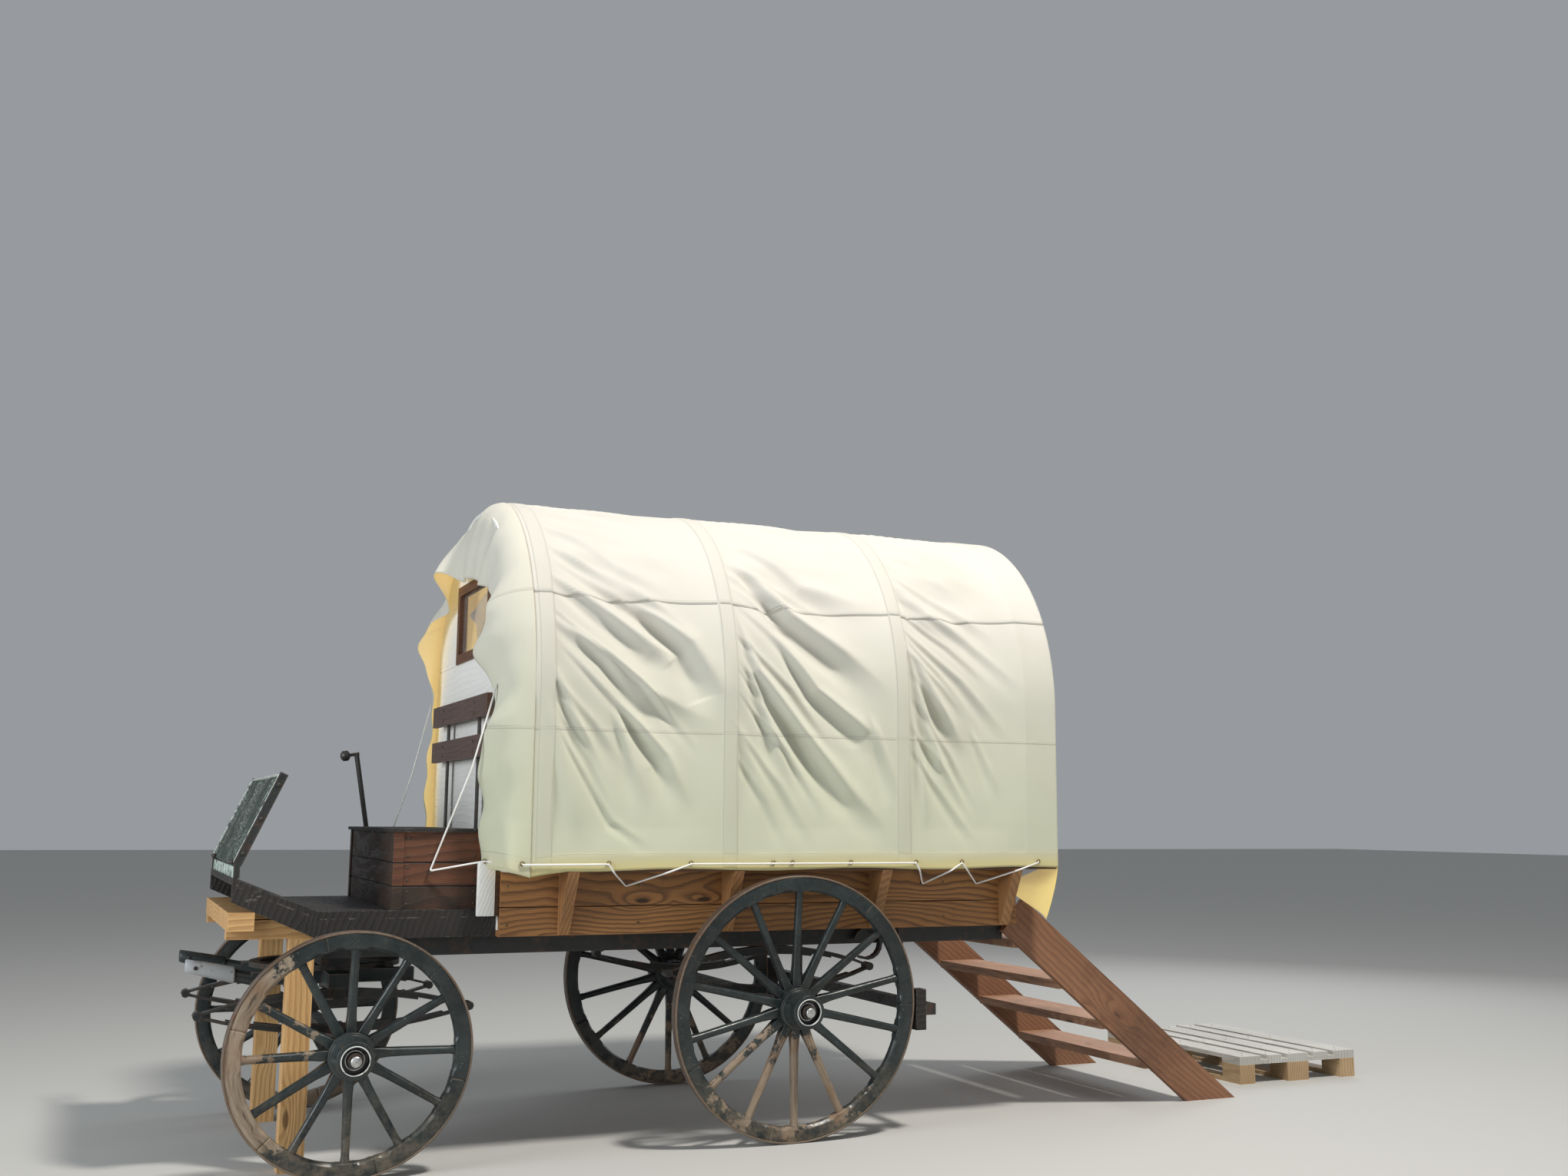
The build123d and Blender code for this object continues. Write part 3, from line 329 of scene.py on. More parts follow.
# The wheels' own paint: it goes in flakes where "wear" is high and shows grey
# timber, cracked along the grain that the unwrapped map follows.
wheel_paint, tree, place = start_material("wheel_paint")
along_grain = add(tree, "TexCoord").outputs["UV"]
wear = add(tree, "Attribute", attribute_name="wear").outputs["Fac"]
flaking = sums(tree, "MULTIPLY_ADD", noise(tree, place, 11.0, 8.0, 0.72), 1.5, -0.25)
gone = ramp(tree, sums(tree, "ADD", flaking, wear), 0.98, 1.06)
rub = use(tree, edges, Vector=place, Radius=0.006, Amount=1.0)["Mask"]
rub = times(tree, rub, sums(tree, "MULTIPLY_ADD", wear, 0.9, 0.25))
bare = sums(tree, "MAXIMUM", gone, rub, clamp=True)
cracks = noise(tree, stretched(tree, along_grain, (5, 260, 1)), 1.0, 5.0, 0.65)
timber = blended(tree, ramp(tree, cracks, 0.35, 0.65), (0.33, 0.26, 0.19), (0.17, 0.125, 0.085))
timber = blended(tree, ramp(tree, cracks, 0.60, 0.66), timber, (0.03, 0.022, 0.016))
reddish = patches(tree, place, 6.0, 3.0, 0.55, 0.45, 0.7, 0.0, 0.6)
timber = blended(tree, reddish, timber, (0.20, 0.105, 0.05))
film_tone = patches(tree, place, 4.0, 4.0, 0.6, 0.3, 0.7)
film = blended(tree, film_tone, (0.007, 0.012, 0.013), (0.020, 0.032, 0.034))
specks = patches(tree, place, 120.0, 2.0, 0.55, 0.66, 0.74, 0.0, 0.5)
film = blended(tree, specks, film, (0.20, 0.20, 0.18))
dusty = times(tree, ramp(tree, axis_of(tree, place, 2), 0.42, 0.0, 0.05, 0.60),
              patches(tree, place, 16.0, 6.0, 0.72, 0.35, 0.7))
colour = blended(tree, dusty, blended(tree, bare, film, timber), (0.24, 0.185, 0.125))
gloss = sums(tree, "ADD", times(tree, bare, 0.38),
             patches(tree, place, 40.0, 3.0, 0.55, 0.3, 0.7, 0.28, 0.46))
crack_depth = times(tree, cracks, sums(tree, "MULTIPLY_ADD", bare, 0.9, 0.15))
finish_material(colour, gloss, sums(tree, "MULTIPLY_ADD", bare, -1.0, crack_depth), 0.0009)
enamel, tree, place = start_material("ring_enamel")
chips = patches(tree, place, 45.0, 6.0, 0.7, 0.56, 0.62)
# the ring's inner wall and the floor of its recess are coloured nearly black, by a mask carried in
# the wear attribute
sunk = add(tree, "Attribute", attribute_name="wear").outputs["Fac"]
ring_colour = blended(tree, chips, (0.70, 0.72, 0.70), (0.30, 0.27, 0.22))
ring_colour = blended(tree, sunk, ring_colour, (0.006, 0.007, 0.007))
finish_material(ring_colour, ramp(tree, chips, 0, 1, 0.30, 0.7), chips, 0.0003)
zinc, tree, place = start_material("zinc_plate")
bloom = noise(tree, place, 60.0, 4.0, 0.6)
surface(tree)["Metallic"].default_value = 0.85
finish_material(blended(tree, ramp(tree, bloom, 0.3, 0.7), (0.42, 0.43, 0.43), (0.62, 0.63, 0.62)),
                ramp(tree, bloom, 0.3, 0.7, 0.32, 0.5))


def grid_piece(name, points, body, slot_name, material, uv=None, wear=None, flip=None,
               close_i=False, close_j=False):
    """Quads between neighbours of (n, m, 3) points, or of a stack of such grids.

    Without flip the faces turn so that the closed piece has a positive volume."""
    stack = points.reshape(-1, *points.shape[-3:])
    k, n, m = stack.shape[:3]
    i, j = np.meshgrid(np.arange(n - (not close_i)), np.arange(m - (not close_j)), indexing="ij")
    i2, j2 = (i + 1) % n, (j + 1) % m
    one = np.stack([i * m + j, i2 * m + j, i2 * m + j2, i * m + j2], axis=-1).reshape(-1, 4)
    quads = (one[None] + (np.arange(k) * n * m)[:, None, None]).reshape(-1, 4)
    flat = stack.reshape(-1, 3)
    if flip is None:
        a, b, c, d = (flat[quads[:, q]] - flat.mean(axis=0) for q in range(4))
        flip = (np.cross(a, b) * c + np.cross(a, c) * d).sum() < 0
    if flip:
        quads = quads[:, ::-1]
    mesh = bpy.data.meshes.new(name)
    mesh.from_pydata(flat, [], quads)
    mesh.polygons.foreach_set("use_smooth", np.ones(len(quads), dtype=bool))
    if uv is not None:
        layer = mesh.uv_layers.new(name="grain")
        at_corners = uv.reshape(-1, 2)[quads.reshape(-1)]
        layer.data.foreach_set("uv", at_corners.astype(np.float32).reshape(-1))
    if wear is not None:
        share = mesh.attributes.new("wear", "FLOAT", "POINT")
        share.data.foreach_set("value", wear.reshape(-1).astype(np.float32))
    mesh.materials.append(material)
    piece = bpy.data.objects.new(name, mesh)
    bpy.context.scene.collection.objects.link(piece)
    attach(piece, body)
    return piece


def eased(corners, radius, closed=True):
    """Corners of outlines, each replaced by three points of a small round."""
    ends = []
    for other in (np.roll(corners, 1, axis=-2), np.roll(corners, -1, axis=-2)):
        run = other - corners
        long = np.linalg.norm(run, axis=-1, keepdims=True) + 1e-9
        ends.append(corners + run / long * np.minimum(radius, 0.45 * long))
    middle = 0.25 * ends[0] + 0.5 * corners + 0.25 * ends[1]
    line = np.stack([ends[0], middle, ends[1]], axis=-2).reshape(*corners.shape[:-2], -1, 2)
    return line if closed else line[..., 2:-2, :]


def full_turn(count):
    """Evenly spaced angles once round, the first not repeated."""
    return np.linspace(0, 2 * math.pi, count, endpoint=False)


def turns_apart(a, b):
    """The shorter way round between two angles."""
    return np.abs((a - b + math.pi) % (2 * math.pi) - math.pi)


def revolved(profile, count):
    """A profile of (along the axle, radius) turned about the Y axis, with its unwrapped map."""
    turns = full_turn(count)[:, None]
    along, radius = profile[None, :, 0], profile[None, :, 1]
    points = np.stack([radius * np.sin(turns), along + 0 * turns, radius * np.cos(turns)], axis=-1)
    return points, np.stack([along + 0 * turns, radius * turns], axis=-1)


def stood(points, joint, side):
    """A wheel built about the Y axis, outer face to +Y, stood on its leaning arm."""
    axis = np.array(joint["axis"])
    level = np.array([1.0, 0.0, 0.0])
    return points @ np.array([level, side * axis, np.cross(level, axis)]) + np.array(joint["pos_m"])


def wheel_wear(turns, worn):
    """Share of paint lost round a wheel: one bare stretch on a little loss all round."""
    middle, spread, amount, rest = worn
    away = turns_apart(turns, math.radians(middle))
    return rest + amount * np.exp(-((away / math.radians(spread)) ** 4))


# Sizes shared by the four wheels, in metres. The rim lies between two depths
# under the tread, and its chamfers stop short of the spokes and the joints; the
# spokes run from inside the nave into the rim and lean outwards by the dish;
# profiles are (along the axle, radius).
rim_outside, rim_inside, rim_half, rim_ease = 0.0083, 0.070, 0.024, 0.0022
chamfer_least, chamfer_more = 0.003, 0.010
spoke_stop, spoke_run, joint_stop, joint_run = 0.034, 0.014, 0.022, 0.012
joint_steps, joint_half, joint_sunk = (-0.0020, -0.0013, 0.0013, 0.0020), 0.0016, (0.93, 0.90)
spoke_root, spoke_tenon, spoke_dish = 0.080, 0.004, 0.024
spoke_at = [0, 0.09, 0.20, 0.5, 0.93, 0.96, 1]
spoke_wide = [0.0215, 0.0210, 0.0185, 0.0175, 0.0160, 0.0180, 0.0180]
spoke_deep = [0.0245, 0.0240, 0.0205, 0.0190, 0.0175, 0.0185, 0.0185]
nave_profile = eased(np.array([
    (-0.125, 0.0302), (-0.125, 0.062), (-0.062, 0.0745), (-0.060, 0.0890), (-0.046, 0.0895),
    (-0.045, 0.0870), (0.020, 0.0870), (0.021, 0.0900), (0.036, 0.0895), (0.038, 0.0800),
    (0.050, 0.0790), (0.078, 0.0690), (0.104, 0.0630), (0.105, 0.0695), (0.110, 0.0717),
    (0.134, 0.0717), (0.135, 0.0525), (0.109, 0.0515), (0.109, 0.0302)]), 0.0016, closed=False)
ring_profile = eased(np.array([
    (0.1346, 0.0572), (0.1372, 0.0566), (0.1378, 0.0545), (0.1370, 0.0526), (0.1290, 0.0514),
    (0.1100, 0.0512), (0.1096, 0.0392), (0.1150, 0.0386), (0.1170, 0.0365), (0.1160, 0.0340),
    (0.1096, 0.0330)]), 0.0006, closed=False)
cap_profile = eased(np.array([
    (0.1495, 0.0215), (0.1530, 0.0205), (0.1560, 0.0160), (0.1578, 0.0090), (0.1584, 0.0)]),
    0.002, closed=False)
tyre_half, tyre_thick = 0.026, 0.008

# Joints by name. For each wheel its spokes, the body that holds its axle, and
# where its rim and its spokes have lost their paint: the bare stretch's middle and
# half width in degrees, the loss there and the loss elsewhere.
spins = {joint["name"]: joint for joint in frame["joints"]}
hands = {"left": 1, "right": -1}
wheels = (
    ("rear", "left", 14, "wagon_body", (168, 62, 0.30, 0.14), (172, 52, 0.62, 0.16)),
    ("rear", "right", 14, "wagon_body", (190, 60, 0.35, 0.12), (175, 50, 0.40, 0.12)),
    ("front", "left", 12, "fore_carriage", (92, 58, 0.66, 0.16), (75, 45, 0.34, 0.14)),
    ("front", "right", 12, "fore_carriage", (200, 60, 0.40, 0.14), (180, 50, 0.30, 0.12)),
)
for end, hand, spokes, carrier, rim_worn, spoke_worn in wheels:
    spin = spins[f"{end}_{hand}_wheel_spin"]
    side = hands[hand]
    body = spin["child"]
    low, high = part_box(f"{end}_tyre_{hand}")
    radius = (high[0] - low[0]) / 2
    rim_out, rim_in = radius - rim_outside, radius - rim_inside

    def wheel_piece(part, points, slot_name, material, uv=None, wear=None, rider=body, **shape):
        """One of this wheel's pieces, built about the Y axis and stood in its place."""
        return grid_piece(f"{end}_{hand}_{part}", stood(points, spin, side), rider, slot_name,
                          material, uv, wear, **shape)

    # felloes: sawn segments with stopped chamfers between the spokes and tight joints
    spoke_turns = np.arange(spokes) * 2 * math.pi / spokes
    joint_turns = spoke_turns[::2] + math.pi / spokes
    around = np.sort(np.concatenate([full_turn(spokes * 26)] + [
        (joint_turns + step / rim_out) % (2 * math.pi) for step in joint_steps]))
    to_spoke = turns_apart(around[:, None], spoke_turns).min(axis=1) * rim_in
    to_joint = turns_apart(around[:, None], joint_turns).min(axis=1) * rim_out
    cut = np.clip((to_spoke - spoke_stop) / spoke_run, 0, 1)
    cut = cut * np.clip((to_joint - joint_stop) / joint_run, 0.25, 1)
    cut = chamfer_least + chamfer_more * cut
    outline = ((rim_out, -rim_half), (rim_out, rim_half), (rim_in + cut, rim_half),
               (rim_in, rim_half - cut), (rim_in, cut - rim_half), (rim_in + cut, -rim_half))
    corners = np.stack([
        np.stack(np.broadcast_arrays(r, y, cut)[:2], axis=-1) for r, y in outline], axis=1)
    section = eased(corners, rim_ease)
    middle = np.array([(rim_out + rim_in) / 2, 0.0])
    seam = (to_joint < joint_half)[:, None, None]
    section = np.where(seam, middle + (section - middle) * np.array(joint_sunk), section)
    turns = around[:, None]
    swell = 0.0008 * np.sin(turns * 9.0 + side) + 0.0006 * np.sin(turns * 23.0)
    reach = section[..., 0]
    points = np.stack(
        [reach * np.sin(turns), section[..., 1] + swell, reach * np.cos(turns)], axis=-1)
    span = np.arange(section.shape[1]) * 0.010
    uv = np.stack([turns * rim_out + 0 * reach, span[None] + 0 * reach], axis=-1)
    inside = 0.10 * (reach < rim_in + 0.014)
    worn = wheel_wear(turns, rim_worn) + inside * 0.5 + 0.25 * seam[..., 0]
    rim = wheel_piece("felloes", points, "wheel_paint", wheel_paint, uv, worn,
                      close_i=True, close_j=True)
    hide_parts(f"{end}_wheel_{hand}")

    # spokes: square shoulders at the nave, shaved to an oval, round at the felloe; across
    # and deep are half sizes times the cosine and the sine to the power 2 over squareness
    t = np.array([0, 0.03, 0.07, 0.11, 0.15, 0.19, 0.24, 0.30, 0.40, 0.52, 0.64, 0.76, 0.86, 0.93,
                  0.96, 1.0])
    out = spoke_root + t * (rim_in + spoke_tenon - spoke_root)
    wide, deep = (np.interp(t, spoke_at, sizes)[:, None] for sizes in (spoke_wide, spoke_deep))
    square = np.interp(t, [0, 0.10, 0.22, 0.5, 1], [7.0, 6.0, 2.8, 2.2, 2.2])[:, None]
    turn = full_turn(20)[None]
    flat_x = wide * np.sign(np.cos(turn)) * np.abs(np.cos(turn)) ** (2 / square)
    flat_y = deep * np.sign(np.sin(turn)) * np.abs(np.sin(turn)) ** (2 / square)
    flat_y = flat_y - spoke_dish * (1 - t[:, None])
    facing = spoke_turns[:, None, None]
    chance = np.random.default_rng(spokes + side)
    bend = chance.uniform(-0.0016, 0.0016, (spokes, 1, 1)) * np.sin(math.pi * t)[None, :, None]
    flat_x = flat_x[None] + bend
    out = out[None, :, None]
    points = np.stack([out * np.sin(facing) + flat_x * np.cos(facing), flat_y[None] + 0 * flat_x,
                       out * np.cos(facing) - flat_x * np.sin(facing)], axis=-1)
    uv = np.stack([out + 0 * flat_x + facing, turn[None] * 0.018 + 0 * flat_x], axis=-1)
    bareness = np.interp(t, [0, 0.2, 0.7, 1], [0.5, 0.9, 1.0, 1.15])[None, :, None]
    worn = wheel_wear(facing, spoke_worn) * bareness + 0 * flat_x
    wheel_piece("spokes", points, "wheel_paint", wheel_paint, uv, worn, close_j=True)

    # nave: turned in steps, an iron hoop each side of the spokes and a white end
    # ring, the axle's cap in it, and the iron tyre round the whole
    points, uv = revolved(nave_profile, 96)
    worn = 0.12 + 0.10 * np.sin(np.arange(96) * 0.4)[:, None] + 0 * points[..., 0]
    wheel_piece("nave", points, "wheel_paint", wheel_paint, uv, worn, flip=side > 0, close_i=True)
    points = revolved(ring_profile, 96)[0]
    sunk = np.interp(points[..., 1], [0.1092, 0.1120, 0.1128, 0.1170, 0.1180, 0.1350, 0.1362],
                     [1, 1, 0, 0, 1, 1, 0])
    wheel_piece("hub_ring", points, "wheel_paint", enamel, wear=sunk, flip=side > 0, close_i=True)
    points = revolved(cap_profile, 32)[0]
    wheel_piece("axle_cap", points, "wagon_iron", zinc, rider=carrier, flip=side > 0, close_i=True)
    tread = [(-tyre_half, radius - tyre_thick), (-tyre_half, radius), (tyre_half, radius),
             (tyre_half, radius - tyre_thick)]
    points = revolved(eased(np.array(tread), rim_ease), 168)[0]
    tyre = wheel_piece("tyre", points, "tyre_iron", tyre_iron, close_i=True, close_j=True)
    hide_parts(f"{end}_tyre_{hand}")


# Body: broad stained softwood planks with a bold grain, tapering knees of
# lighter pine screwed outside them, and the ledge that the cover's bows stand on.
upright = (0.0, math.radians(90), 0.0)
across = (0.0, 0.0, math.radians(90))


def pine(name, early, late, turn=(0.0, 0.0, 0.0), rings=55.0, wander=0.14, knots=1.0, grime=0.3,
         coat=None, fibres=1.0, joints=(), black_foot_and_shaded_faces=False):
    """Sawn softwood with its grain along one direction, and level joints between its boards.

    With a black foot the wood is nearly black below the first joint, and off its end faces it is
    nearly black as painted shade."""
    material, tree, place = start_material(name)
    if turn == "by face":
        sideways = axis_of(tree, add(tree, "TexCoord").outputs["Normal"], 1)
        end_face = ramp(tree, sums(tree, "ABSOLUTE", sideways), 0.6, 0.7)
        lined = add(tree, "Mix", {0: end_face}, data_type="VECTOR")
        tree.links.new(stretched(tree, place, (1, 1, 1), across), lined.inputs[4])
        tree.links.new(place, lined.inputs[5])
        run = lined.outputs[1]
    else:
        run = stretched(tree, place, (1, 1, 1), turn)
    cut = use(tree, grain, Vector=run, Early=(*early, 1), Late=(*late, 1), Rings=rings,
              Wander=wander, Knots=knots, Fibres=fibres)
    dirt = patches(tree, place, 2.2, 5.0, 0.65, 0.45, 0.78, 0.0, grime)
    rub = use(tree, edges, Vector=place, Radius=0.006, Amount=0.55)["Mask"]
    colour = blended(tree, dirt, cut["Color"], (0.035, 0.02, 0.012))
    colour = blended(tree, rub, colour, tuple(min(1.0, c * 1.35 + 0.03) for c in early))
    height = cut["Height"]
    level = axis_of(tree, place, 2)
    if black_foot_and_shaded_faces:
        # painted shade: every face but the two ends goes nearly black in patches; below the first
        # joint the wood is darkened the same way
        black = sums(tree, "MAXIMUM", ramp(tree, level, joints[0] + 0.001, joints[0] - 0.001),
                     sums(tree, "SUBTRACT", 1.0, end_face))
        patchy = patches(tree, place, 9.0, 5.0, 0.65, 0.30, 0.70, 0.55, 0.90)
        colour = blended(tree, times(tree, black, patchy), colour, (0.020, 0.017, 0.012))
    for joint in joints:
        gap = ramp(tree, apart(tree, level, joint), 0.0034, 0.0020)
        colour = blended(tree, gap, colour, (0.003, 0.002, 0.002))
        height = sums(tree, "MULTIPLY_ADD", gap, -2.0, height)
    finish_material(colour, cut["Rough"], height, 0.0012, coat=coat)
    return material


plank_joint = 1.0205
plank_stain = pine("stained_pine", (0.37, 0.168, 0.052), (0.085, 0.032, 0.011), rings=47.0,
                   wander=0.36, coat=0.12, joints=(plank_joint,))
knee_stain = pine("knee_pine", (0.36, 0.175, 0.062), (0.19, 0.082, 0.028), upright, grime=0.2)
# painted shadow: the ledges are coloured nearly black, as the shadow that the cover's hem casts on
# them
ledge_painted_shadow = pine("ledge_pine_shadow", (0.10, 0.045, 0.018), (0.05, 0.022, 0.010), grime=0.4)
bow_wood = pine("bow_pine", (0.50, 0.30, 0.14), (0.34, 0.18, 0.07), grime=0.1, knots=0.0)
dress(plank_stain, "side_planks_left", "side_planks_right", "floor")
dress(knee_stain, "knees")
dress(ledge_painted_shadow, "ledges")
dress(bow_wood, "bows", "roof_laths")

# End walls of white painted boards with a brown window frame, and a stained
# rear door on two strap hinges. The panes are plain glass with smears.
white_paint = pine("white_board", (0.82, 0.82, 0.78), (0.79, 0.78, 0.73), across, knots=0.0,
                   grime=0.04, fibres=0.25)
frame_stain = pine("brown_frame", (0.13, 0.052, 0.026), (0.055, 0.02, 0.011), across, knots=0.0)
door_stain = pine("door_pine", (0.34, 0.14, 0.05), (0.13, 0.045, 0.018), upright, rings=48.0)
dress(white_paint, "front_wall", "rear_wall")
dress(frame_stain, "window_frame")
dress(door_stain, "door")
pane, tree, place = start_material("window_pane")
surface(tree)["Transmission Weight"].default_value = 0.92
surface(tree)["IOR"].default_value = 1.45
smears = patches(tree, place, 5.0, 5.0, 0.7, 0.4, 0.8, 0.02, 0.16)
finish_material(blended(tree, smears, (0.93, 0.95, 0.94), (0.8, 0.8, 0.76)), smears)
dress(pane, "window_glass", "door_glass")


# Front platform: boards gone nearly black with weather, and flakes of an old
# pale coat left on their edges; the dash panel is mottled dark green.
def weathered(name, dark, pale, turn, amount, boards=None, pale_below=None):
    """Timber blackened by weather with flakes of pale paint still on it.

    Seams lie across level faces, one to each width of the boards."""
    material, tree, place = start_material(name)
    cut = use(tree, grain, Vector=stretched(tree, place, (1, 1, 1), turn),
              Early=(*(2.0 * c for c in dark), 1), Late=(*dark, 1), Rings=40.0, Wander=0.08,
              Knots=0.4)
    rub = use(tree, edges, Vector=place, Radius=0.008, Amount=0.9)["Mask"]
    left_on = patches(tree, place, 6.0, 7.0, 0.75, 0.62 - 0.12 * amount, 0.70 - 0.10 * amount)
    flakes = patches(tree, stretched(tree, place, (30, 90, 90), turn), 1.0, 5.0, 0.7, 0.52, 0.60)
    pale_mask = sums(tree, "MULTIPLY", sums(tree, "MAXIMUM", left_on, rub), flakes, clamp=True)
    if pale_below:
        under = ramp(tree, axis_of(tree, place, 2), pale_below + 0.002, pale_below - 0.002)
        under = times(tree, under, patches(tree, place, 26.0, 6.0, 0.7, 0.40, 0.52))
        pale_mask = sums(tree, "MAXIMUM", pale_mask, under)
    colour = blended(tree, pale_mask, cut["Color"], pale)
    height = sums(tree, "ADD", cut["Height"], times(tree, pale_mask, 0.8))
    if boards:
        across_boards = sums(tree, "DIVIDE", axis_of(tree, place, 0), boards)
        away = apart(tree, sums(tree, "FRACT", across_boards), 0.5)
        level = ramp(tree, axis_of(tree, add(tree, "TexCoord").outputs["Normal"], 2), 0.7, 0.8)
        seam = times(tree, ramp(tree, away, 0.020, 0.012), level)
        colour = blended(tree, seam, colour, (0.002, 0.002, 0.002))
        height = sums(tree, "MULTIPLY_ADD", seam, -3.0, height)
    finish_material(colour, cut["Rough"], height, 0.0015)
    return material


deck_board = 0.142
dash_foot_z = 1.19
black_boards = weathered("weathered_wood", (0.009, 0.0075, 0.0068), (0.16, 0.145, 0.125), across,
                         0.30, boards=deck_board)
dash_paint = weathered("dash_paint", (0.010, 0.017, 0.013), (0.48, 0.57, 0.51), across, 1.45,
                       pale_below=dash_foot_z)
dress(black_boards, "platform_frame", "platform_deck", "footboard", "footboard_cheeks", "seat_lid",
      "brake_shoes")
dress(dash_paint, "dash_panel")

# Seat: a box of three boards under a lid and a backrest of two slats. Its lowest board is nearly
# black, and its front and its other faces but the two ends are painted shade, nearly black.
seat_joints = (1.107, 1.204)
seat_stain_and_shade = pine("seat_pine_shaded_faces", (0.132, 0.047, 0.020), (0.060, 0.021, 0.009), "by face", rings=30.0,
                  wander=0.32, grime=0.55, joints=seat_joints, black_foot_and_shaded_faces=True)
slat_stain = pine("slat_wood", (0.090, 0.044, 0.030), (0.045, 0.021, 0.015), across, knots=0.5,
                  coat=0.15)
dress(seat_stain_and_shade, "seat_box")
dress(slat_stain, "backrest_slats")

# Steps of reddish pine leaning on the rear sill, a landing pallet with greyed
# boards on newer blocks, and the fresh timber props under the platform.
stair_slope = (0.0, math.radians(39.0), 0.0)
for node, name, early, late, look in (
    ("stair_stringers", "stair_pine", (0.265, 0.124, 0.064), (0.165, 0.073, 0.039),
     {"turn": stair_slope, "rings": 42.0, "wander": 0.20, "grime": 0.65}),
    ("stair_treads", "tread_pine", (0.42, 0.235, 0.145), (0.24, 0.115, 0.065),
     {"turn": across, "rings": 50.0, "grime": 0.5}),
    ("prop_posts", "new_pine", (0.62, 0.37, 0.15), (0.44, 0.22, 0.075),
     {"turn": upright, "rings": 45.0, "grime": 0.08}),
    ("prop_bearers", "new_pine_beam", (0.60, 0.35, 0.14), (0.42, 0.21, 0.07),
     {"rings": 45.0, "grime": 0.08}),
    ("pallet_deck", "grey_pine", (0.56, 0.55, 0.51), (0.40, 0.39, 0.36),
     {"turn": across, "rings": 60.0, "knots": 0.6, "grime": 0.12}),
    ("pallet_base", "block_pine", (0.52, 0.36, 0.20), (0.36, 0.22, 0.11),
     {"turn": across, "rings": 60.0, "grime": 0.25}),
):
    dress(pine(name, early, late, **look), node)


# Cover: cream cotton canvas in three long widths joined by flat seams, stretched
# over four bows with sewn sleeves and laced down at the hem. Its cross line is a
# half ellipse on two straight legs; places are metres from the rear axle.
cover_low, cover_high = (np.array(c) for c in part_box("canvas_cover"))
cover_half = cover_high[1]
hem_z = cover_low[2]
crown_rise = 0.94
spring_z = cover_high[2] - crown_rise
crease_x = cover_high[0] - 0.115
bow_places = np.array([1.165, 0.330, -0.535, -1.340])
rear_wall_place = -1.19
upper_seam, middle_seam = 1.192, 0.575
sleeve_half = 0.036
cloth_thick = 0.0014
angle = np.linspace(0, math.pi, 900)
arch_y = np.concatenate([[cover_half], cover_half * np.cos(angle), [-cover_half]])
arch_z = np.concatenate([[hem_z], spring_z + crown_rise * np.sin(angle), [hem_z]])
arch_s = np.concatenate([[0], np.cumsum(np.hypot(np.diff(arch_y), np.diff(arch_z)))])
girth = arch_s[-1]


def to_hem(s):
    """Distance along the cross line to the nearer hem."""
    return np.minimum(s, girth - s)


def on_arch(s):
    """Point and outward normal at a distance s along the cover's cross line, from the left hem."""
    y = np.interp(s, arch_s, arch_y)
    z = np.interp(s, arch_s, arch_z) + np.minimum(s, 0) + np.minimum(girth - s, 0)
    step = 0.02
    inner = np.clip(s, step, girth - step)
    dy = np.interp(inner + step, arch_s, arch_y) - np.interp(inner - step, arch_s, arch_y)
    dz = np.interp(inner + step, arch_s, arch_z) - np.interp(inner - step, arch_s, arch_z)
    long = np.hypot(dy, dz) + 1e-9
    return y, z, dz / long, -dy / long


def tension_fold(x, s, line, width, height, hollow):
    """A ridge along a bent line in (x, s), narrow at its start, with a hollow on its lower side.

    The ridge is e to the minus (distance over spread) to the power 1.4, and the hollow a bell
    1.9 spreads off the line; both fade at the line's ends."""
    line = np.array(line, dtype=float)
    first = line[1] - line[0]
    line[0] = line[0] - 0.10 * first / np.hypot(*first)
    runs = np.diff(line, axis=0)
    lengths = np.hypot(runs[:, 0], runs[:, 1])
    starts = np.concatenate([[0], np.cumsum(lengths)[:-1]])
    best = np.full(x.shape, 9.0)
    offset = np.full(x.shape, 9.0)
    share = np.zeros(x.shape)
    for (x0, s0), (rx, rs), long, start in zip(line[:-1], runs, lengths, starts):
        t = np.clip(((x - x0) * rx + (s - s0) * rs) / long**2, 0, 1)
        dx, ds = x - x0 - t * rx, s - s0 - t * rs
        near = np.hypot(dx, ds)
        closer = near < best
        offset = np.where(closer, near * np.sign(dx * rs - ds * rx), offset)
        share = np.where(closer, (start + t * long) / lengths.sum(), share)
        best = np.minimum(best, near)
    fade = np.clip(share / 0.26, 0, 1) * np.clip((1 - share) / 0.42, 0, 1)
    fade = fade * fade * (3 - 2 * fade)
    spread = width * (0.34 + 0.95 * share)
    ridge = height * np.exp(-(np.abs(offset / spread) ** 1.4))
    dip = hollow * np.exp(-(((offset + 1.9 * spread) / (1.3 * spread)) ** 2))
    return fade * (ridge - dip)


